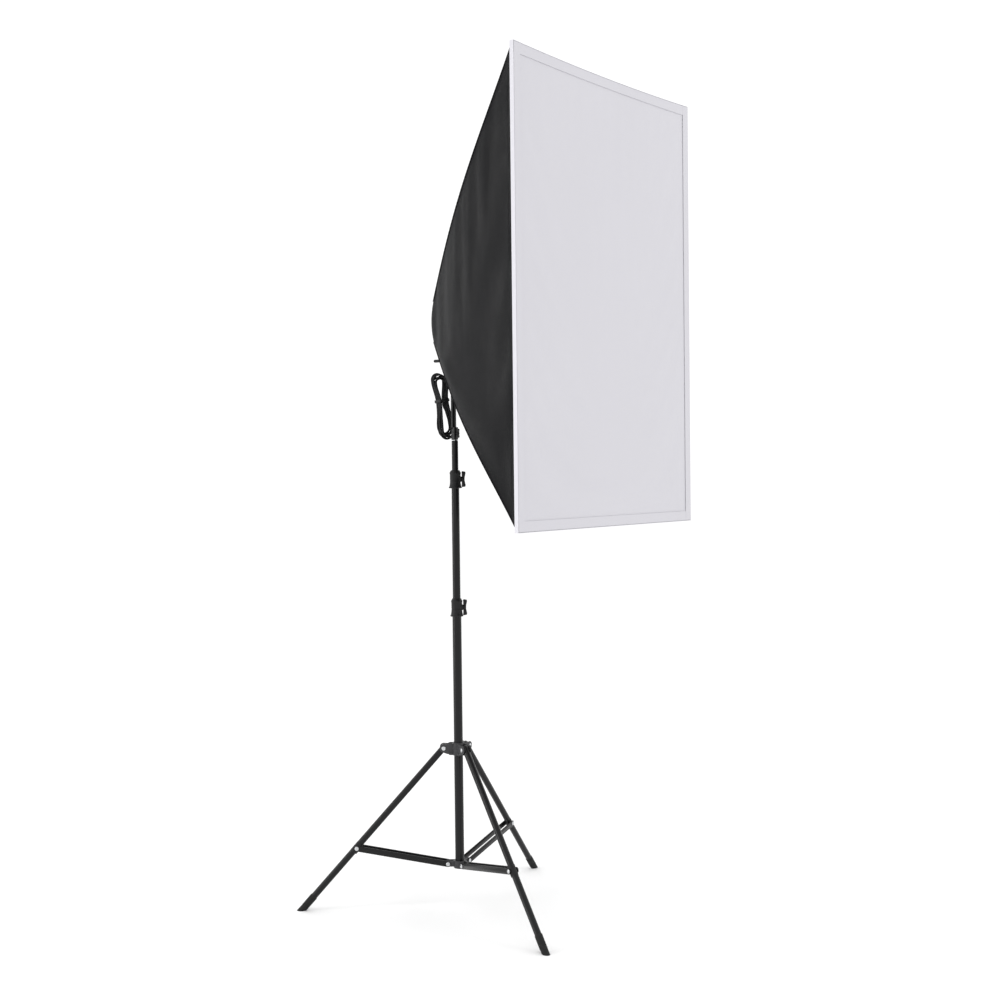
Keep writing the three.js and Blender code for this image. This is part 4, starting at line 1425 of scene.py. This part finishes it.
class SOFTBOX_OT_lamp(bpy.types.Operator):
    """Makes the spiral lamp: its screw base, ballast and glass"""

    bl_idname = "softbox.lamp"
    bl_label = "Lamp"

    def execute(self, context):
        z = AXIS_Z / MM
        base = (span("bulb_base", "x")[0] - POLE.x) / MM
        thread = []
        for i in range(9):
            at = base + 6 + 2.2 * i
            thread += [(12.7, at), (13.4, at + 1.1)]
        tip = [(0, base), (4.6, base), (5, base + 2), (11, base + 4.4)]
        cap = turned(tip + thread + [(13.4, base + 28), (0, base + 28)])
        piece_from(moved(along_x(cap), z=z), "lamp_base_brass", "lamp", "brass", "brass", ["bulb_base"])
        start = base + 28.3
        ring = [(30.4, start + 20), (31, start + 21)]
        vents = []
        for i in range(5):
            at = start + 24 + 6 * i
            vents += [(31, at), (30.2, at + 0.6), (30.2, at + 1.8), (31, at + 2.4)]
        body = turned([
            (0, start), (14.6, start), (15, start + 0.6), (24, start + 9), (29, start + 15), *ring, *vents,
            (31, start + 58), (29.4, start + 61), (28, start + 61.7), (0, start + 61.7),
        ])
        whole = moved(along_x(body), z=z)
        piece_from(whole, "lamp_ballast_moulded", "lamp", "white_plastic", "ballast", ["lamp_ballast"])
        self.add_spiral(start + 62)
        return {"FINISHED"}

    def add_spiral(self, start):
        """The glass winds out and back between its own turns, and crosses over at the tip."""
        long, radius, turns, steps = 118, 29, 3.25, 60

        def arm(side):
            spots = [(0.4, 90), (4, 90), (8, 92)]
            shares = [i / steps for i in range(1, steps + 1)]
            spots += [(12 + (long - 24) * share, 90 + 360 * turns * share) for share in shares]
            for x, degrees in spots:
                a = math.radians(degrees)
                across, height = side * radius * math.cos(a), side * radius * math.sin(a)
                yield POLE + Vector((start + x, across, height)) * MM + UP * AXIS_Z

        tip = POLE + Vector((start + long, 0, 0)) * MM + UP * AXIS_Z
        points = list(arm(1)) + [tip] + list(arm(-1))[::-1]
        round_bar(points, 6 * MM, "lamp_glass_tube", "lamp", "lamp_glass", "phosphor", ["lamp_spiral"])


# ---------- softbox ----------
# The cloth's own lengths, in metres: how far its sides bow out, its edges sag and its back bellies.
SIDE_BOW = 0.012
TOP_BOW = 0.018
SAG = 0.006
BACK_BELLY = 0.006
ROD_INSET = 0.013
SHELL_LENGTH = 0.66
LIP_PROUD = 0.0012


def section(t):
    """Half width, half height and middle of the shell's section, from 0 at the front to 1 at the back."""
    bow = math.sin(math.pi * t**1.3)
    x = FRONT_X + (BACK_X - FRONT_X) * t
    y = FRONT_HALF.y + (BACK_HALF.y - FRONT_HALF.y) * t + SIDE_BOW * bow
    z = FRONT_HALF.z + (BACK_HALF.z - FRONT_HALF.z) * t + TOP_BOW * bow
    return x, y, z, FRONT_Z + (AXIS_Z - FRONT_Z) * t


def on_shell(t, around):
    """A point of the shell: around runs 0 to 4, and each whole number is a rod's corner."""
    x, y, z, mid = section(t)
    side = int(around) % 4
    share = 2 * (around - int(around)) - 1
    x -= BACK_BELLY * (1 - share * share) * t**10
    if side == 0:
        mid -= SAG * (1 - share * share) * (1 - t) ** 5
    spot = ((share * y, z), (y, -share * z), (-share * y, -z), (-y, share * z))[side]
    return POLE + Vector((x, spot[0], mid + spot[1]))


def grid_sheet(columns, rows):
    """A flat sheet of squares with a UV map for its cut, and each corner's column and row."""
    bm = bmesh.new()
    bm.loops.layers.uv.new("cut")
    bm.verts.layers.int.new("pinned")
    bmesh.ops.create_grid(bm, x_segments=columns, y_segments=rows, size=1)
    table = {}
    for v in bm.verts:
        i = round((v.co.x + 1) / 2 * columns)
        j = round((v.co.y + 1) / 2 * rows)
        table[v] = (i, j)
    return bm, table


def hang_cloth(piece, slack, frames=24, limit=0.02):
    """Lets the cloth settle between its pinned edges, and keeps each point within the limit."""
    marks = piece.data.attributes["pinned"].data
    group = piece.vertex_groups.new(name="pinned")
    group.add([i for i, mark in enumerate(marks) if mark.value], 1.0, "REPLACE")
    before = [v.co.copy() for v in piece.data.vertices]
    cloth = piece.modifiers.new("cloth", "CLOTH")
    cloth.settings.quality = 6
    cloth.settings.mass = 0.12
    cloth.settings.tension_stiffness = 25
    cloth.settings.compression_stiffness = 25
    cloth.settings.shear_stiffness = 12
    cloth.settings.bending_stiffness = 0.6
    cloth.settings.air_damping = 6
    cloth.settings.shrink_min = -slack
    cloth.settings.shrink_max = -slack
    cloth.settings.vertex_group_mass = group.name
    cloth.collision_settings.use_self_collision = False
    scene = bpy.context.scene
    for number in range(1, frames + 1):
        scene.frame_set(number)
    bake_modifiers(piece)
    scene.frame_set(1)
    for v, rest in zip(piece.data.vertices, before):
        drift = v.co - rest
        if drift.length > limit:
            v.co = rest + drift.normalized() * limit
    piece.vertex_groups.clear()


def add_subdivision(piece, levels=1):
    modifier = piece.modifiers.new("subdivision", "SUBSURF")
    modifier.levels = levels
    modifier.render_levels = levels


def add_thickness(piece, thickness, offset, inner=0, rim=0):
    modifier = piece.modifiers.new("thickness", "SOLIDIFY")
    modifier.thickness = thickness
    modifier.offset = offset
    modifier.material_offset = inner
    modifier.material_offset_rim = rim


def map_threads(bm, table, place):
    """Gives each corner of the sheet its place in the flat cloth, from its column and row."""
    uv = bm.loops.layers.uv.active
    for face in bm.faces:
        for loop in face.loops:
            loop[uv].uv = place(*table[loop.vert])


def sewn_band(columns, rows, spot, cloth_place, thickness, offset=0.0):
    """A strip of cloth with its thickness, whose columns and rows are put where spot says."""
    bm, table = grid_sheet(columns, rows)
    map_threads(bm, table, cloth_place)
    for v, (i, j) in table.items():
        v.co = spot(i, j)
    bmesh.ops.remove_doubles(bm, verts=bm.verts, dist=1e-6)
    bmesh.ops.recalc_face_normals(bm, faces=bm.faces)
    band = temporary(bm, "band")
    add_thickness(band, thickness, offset)
    bake_modifiers(band)
    made = bmesh.new()
    made.from_mesh(band.data)
    bpy.data.objects.remove(band)
    return made


class SOFTBOX_OT_rods(bpy.types.Operator):
    """Makes the four spring rods that stretch the shell"""

    bl_idname = "softbox.rods"
    bl_label = "Spring rods"

    def execute(self, context):
        plate_face = span("rib_plate", "x")[1] + 2.2 * MM
        corners = {
            "upper_left": (1, 1), "upper_right": (-1, 1), "lower_left": (1, -1), "lower_right": (-1, -1),
        }
        for corner, (left, up) in corners.items():
            points = []
            for t in (0.01, 0.25, 0.5, 0.72):
                x, y, z, mid = section(t)
                across, height = left * (y - ROD_INSET), up * (z - ROD_INSET)
                points.append(Vector((POLE.x + x, POLE.y + across, mid + height)))
            points.append(Vector((plate_face, POLE.y + left * 0.048, AXIS_Z + up * 0.048)))
            fine = smooth_line(points, 20 * MM)
            name = "rib_" + corner
            round_bar(fine, 2 * MM, name + "_rod", "lamp_head", "spring_rod", "rod", [name])
            self.add_tip(name, fine)
        return {"FINISHED"}

    def add_tip(self, name, line):
        """A moulded cap on the rod's front end."""
        heading = (line[0] - line[2]).normalized()
        cap = turned([(0, -22), (2.9, -22), (3.3, -21), (3.6, -3), (3.2, -1), (2, 0), (0, 0)], 24)
        place = Matrix.Translation(line[0]) @ UP.rotation_difference(heading).to_matrix().to_4x4()
        piece_from(cap, name + "_cap", "lamp_head", "black_plastic", "moulding", (), place)


class SOFTBOX_OT_shell(bpy.types.Operator):
    """Makes the four-sided cloth shell with its seams, hem and back cuff"""

    bl_idname = "softbox.shell"
    bl_label = "Cloth shell"

    per_side = 20
    rows = 34

    def execute(self, context):
        cloth = context.scene.softbox_cloth
        shell = self.make_sheet()
        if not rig.quick():
            hang_cloth(shell, cloth.slack)
        add_subdivision(shell)
        add_thickness(shell, cloth.thickness, -1, 1)
        nodes = ["left_panel", "right_panel", "top_panel", "bottom_panel"]
        settle(shell, "shell_cloth", "lamp_head", "black_fabric", nodes, ["black_cloth", "lining"], smooth=60)
        hem = self.add_hem()
        seams = self.add_seams()
        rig.sheet(
            shell, flat=(4 * (FRONT_HALF.y + FRONT_HALF.z), SHELL_LENGTH), held="stretched", area=1.15,
            rests_on=["rib_upper_left", "rib_upper_right", "rib_lower_left", "rib_lower_right"],
            with_pieces=[hem, seams],
        )
        self.add_cuff()
        return {"FINISHED"}

    def make_sheet(self):
        """One sheet wrapped round the four rods and sewn to itself at the last corner."""
        columns = 4 * self.per_side
        bm, table = grid_sheet(columns, self.rows)
        self.map_cut(bm, table)
        mark = bm.verts.layers.int.active
        for v, (i, j) in table.items():
            v.co = on_shell(j / self.rows, i / self.per_side)
            v[mark] = i % self.per_side == 0 or j in (0, self.rows)
        gone = [f for f in bm.faces if self.in_slot(f)]
        bmesh.ops.delete(bm, geom=gone, context="FACES")
        bmesh.ops.remove_doubles(bm, verts=bm.verts, dist=1e-6)
        bmesh.ops.recalc_face_normals(bm, faces=bm.faces)
        crease = bm.edges.layers.float.new("crease_edge")
        for edge in bm.edges:
            edge[crease] = len(edge.link_faces) < 2 or edge.calc_face_angle() > 0.7
        return temporary(bm, "shell_cloth")

    def in_slot(self, face):
        """The slot in the bottom panel lets the holder's cheeks through."""
        centre = face.calc_center_median() - POLE
        return centre.x < 0.012 and abs(centre.y) < 0.015 and centre.z < AXIS_Z - 0.02

    def map_cut(self, bm, table):
        """The cloth's own flat coordinates, in metres, so that the weave keeps its size."""
        uv = bm.loops.layers.uv.active
        for face in bm.faces:
            side = min(table[v][0] for v in face.verts) // self.per_side
            for loop in face.loops:
                i, j = table[loop.vert]
                half = section(j / self.rows)[1 + side % 2]
                across = (2 * (i / self.per_side - side) - 1) * half
                loop[uv].uv = (across, SHELL_LENGTH * j / self.rows)

    def add_hem(self):
        """A doubled band along the front edge, and the raised line where it is stitched down."""
        bands = []
        for near, far, proud in ((0.0, 0.050, 0.9), (0.054, 0.058, 0.5)):
            step = (far - near) / 2
            bands.append(sewn_band(
                4 * self.per_side, 2,
                lambda i, j: on_shell(near + step * j, i / self.per_side),
                lambda i, j: (i * 0.04, (near + step * j) * 0.5),
                (proud + 0.6) * MM, 0.6,
            ))
        hem = temporary(joined(*bands), "front_hem")
        return settle(hem, "front_hem", "lamp_head", "black_fabric", (), ["black_cloth"])

    def add_seams(self):
        """Piping along the four corners, where the panels are sewn together."""
        lines = []
        for corner in range(4):
            points = [on_shell(0.004 + 0.99 * k / 60, corner) for k in range(61)]
            lines.append(tube_mesh(points, 1.7 * MM, 10))
        piping = temporary(joined(*lines), "corner_piping")
        return settle(piping, "corner_piping", "lamp_head", "black_fabric", (), ["black_cloth"])

    def add_cuff(self):
        """A gathered sleeve from the shell's square back to the round holder."""
        bm = bmesh.new()
        count = 96
        rings = []
        steps = 7
        for k in range(steps + 1):
            share = k / steps
            ring = bmesh.ops.create_circle(bm, cap_ends=False, segments=count, radius=1)["verts"]
            for v in ring:
                a = math.atan2(v.co.y, v.co.x)
                square = 1 / max(abs(math.cos(a)), abs(math.sin(a)))
                gather = 0.9 * MM * math.sin(24 * a) * share
                r = (BACK_HALF.y * square) * (1 - share) + (0.0294 + gather) * share
                x = BACK_X + 0.002 - 0.012 * math.sin(share * math.pi / 2)
                taller = 1 + 0.02 * (1 - share)
                v.co = POLE + Vector((x, r * math.cos(a), AXIS_Z + r * math.sin(a) * taller))
            rings.append({e for v in ring for e in v.link_edges})
        for near, far in zip(rings, rings[1:]):
            bmesh.ops.bridge_loops(bm, edges=list(near | far))
        bmesh.ops.recalc_face_normals(bm, faces=bm.faces)
        cuff = temporary(bm, "back_cuff")
        add_thickness(cuff, 1.2 * MM, 0)
        bake_modifiers(cuff)
        settle(cuff, "back_cuff", "lamp_head", "black_fabric", ["rear_cuff"], ["black_cloth"], smooth=60)
        band = turned([(28.2, -8), (29.8, -8), (30.3, -7.4), (30.3, -0.6), (29.8, 0), (28.2, 0), (28.2, -8)])
        bm = moved(along_x(band), x=(BACK_X / MM) - 6.5, z=AXIS_Z / MM)
        piece_from(bm, "cuff_band", "lamp_head", "rubber", "rubber")


class SOFTBOX_OT_front(bpy.types.Operator):
    """Makes the white front sheet with its hem"""

    bl_idname = "softbox.front"
    bl_label = "Front sheet"

    columns = 42
    rows = 60

    def execute(self, context):
        cloth = context.scene.softbox_cloth
        sheet = self.make_sheet()
        nodes = ["front_diffuser"]
        settle(sheet, "front_sheet", "diffuser", "white_fabric", nodes, ["white_cloth"], smooth=60)
        hem = self.add_hem(cloth.hem)
        lip = self.add_lip()
        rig.sheet(
            sheet, flat=(2 * FRONT_HALF.y, 2 * FRONT_HALF.z), held="stretched",
            rests_on=["rib_upper_left", "rib_upper_right", "front_hem"], with_pieces=[hem, lip],
        )
        return {"FINISHED"}

    def spot(self, u, v, out):
        """A point of the front: u and v run from -1 to 1, and out is its distance in front of the shell."""
        sag = SAG * (1 - u * u) * max(0, v) ** 6
        return POLE + Vector((FRONT_X + out, u * FRONT_HALF.y, FRONT_Z + v * FRONT_HALF.z - sag))

    def make_sheet(self):
        bm, table = grid_sheet(self.columns, self.rows)
        step = (2 * FRONT_HALF.y / self.columns, 2 * FRONT_HALF.z / self.rows)
        map_threads(bm, table, lambda i, j: (i * step[0], j * step[1]))
        mark = bm.verts.layers.int.active
        for v, (i, j) in table.items():
            v.co = self.spot(2 * i / self.columns - 1, 2 * j / self.rows - 1, 0.0008)
            v[mark] = min(i, self.columns - i) < 3 or min(j, self.rows - j) < 3
        bmesh.ops.recalc_face_normals(bm, faces=bm.faces)
        sheet = temporary(bm, "front_sheet")
        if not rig.quick():
            hang_cloth(sheet, bpy.context.scene.softbox_cloth.slack * 0.5, limit=0.004)
        add_subdivision(sheet)
        add_thickness(sheet, 0.6 * MM, 0)
        return sheet

    def add_hem(self, width):
        """A doubled border, sewn down along its inner edge."""
        bands = []
        borders = ((60, FRONT_HALF.y, 0.0024, True), (42, FRONT_HALF.z, 0.0021, False))
        for end in (-1, 1):
            for count, size, out, upright in borders:
                bands.append(self.border(end, count, width / size, out, upright, width))
        hem = temporary(joined(*bands), "front_hem_white")
        return settle(hem, "front_hem_white", "diffuser", "white_fabric", (), ["white_cloth"])

    def border(self, end, count, share, out, upright, width):
        """One side of the border: an upright one, or one along the top or bottom."""

        def spot(i, j):
            inner, run = end * (1 - share * j / 3), 2 * i / count - 1
            return self.spot(inner, run, out) if upright else self.spot(run, inner, out)

        return sewn_band(count, 3, spot, lambda i, j: (i * 0.017, j * width / 3), 0.8 * MM)

    def add_lip(self):
        """The tape along the sheet's edge, which folds back over the shell's rim."""
        band = sewn_band(80, 3, self.lip_spot, lambda i, j: (i * 0.04, j * 0.003), 1.1 * MM)
        tape = temporary(band, "edge_tape")
        return settle(tape, "edge_tape", "diffuser", "white_fabric", (), ["white_tape"])

    def lip_spot(self, i, j):
        """A point of the tape: i runs round the rim in 20ths of a side, and j from the back to the front."""
        rim = on_shell(0, i / 20)
        out = rim - POLE - Vector((FRONT_X, 0, FRONT_Z))
        out.y = math.copysign(LIP_PROUD, out.y) if abs(out.y) > FRONT_HALF.y - 1e-4 else 0
        out.z = math.copysign(LIP_PROUD, out.z) if abs(out.z) > FRONT_HALF.z - 0.01 else 0
        out.x = -0.007 + 0.0032 * j
        return rim + out


# ---------- panel, and running the lot ----------
STEPS = [
    SOFTBOX_OT_stage, SOFTBOX_OT_lead, SOFTBOX_OT_column, SOFTBOX_OT_locks, SOFTBOX_OT_hubs, SOFTBOX_OT_legs,
    SOFTBOX_OT_braces, SOFTBOX_OT_bracket, SOFTBOX_OT_holder, SOFTBOX_OT_lamp, SOFTBOX_OT_rods,
    SOFTBOX_OT_shell, SOFTBOX_OT_front,
]


class SOFTBOX_PT_panel(bpy.types.Panel):
    """Lists the softbox's settings and pieces in the sidebar"""

    bl_label = "Studio softbox"
    bl_idname = "SOFTBOX_PT_panel"
    bl_space_type = "VIEW_3D"
    bl_region_type = "UI"
    bl_category = "Softbox"

    def draw(self, context):
        for name, group in GROUPS.items():
            column = self.layout.column()
            for key in group.__annotations__:
                column.prop(getattr(context.scene, name), key)
        for step in STEPS:
            self.layout.operator(step.bl_idname)


CLASSES = [*GROUPS.values(), *STEPS, SOFTBOX_PT_panel]


def register():
    for cls in CLASSES:
        bpy.utils.register_class(cls)
    for name, group in GROUPS.items():
        setattr(bpy.types.Scene, name, bpy.props.PointerProperty(type=group))


def unregister():
    for name in GROUPS:
        delattr(bpy.types.Scene, name)
    for cls in reversed(CLASSES):
        bpy.utils.unregister_class(cls)


def run_step(step):
    """Calls a step's operator by its own name."""
    group, name = step.bl_idname.split(".")
    getattr(getattr(bpy.ops, group), name)()


def main():
    register()
    for step in STEPS:
        run_step(step)
    bounds = {"cad": CAD_BOUNDS, "visual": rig.bounds()}
    sizes = {name: [list(corner) for corner in corners] for name, corners in bounds.items()}
    with open("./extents.json", "w") as out:
        json.dump(sizes, out, indent=1)


if __name__ == "__main__":
    main()
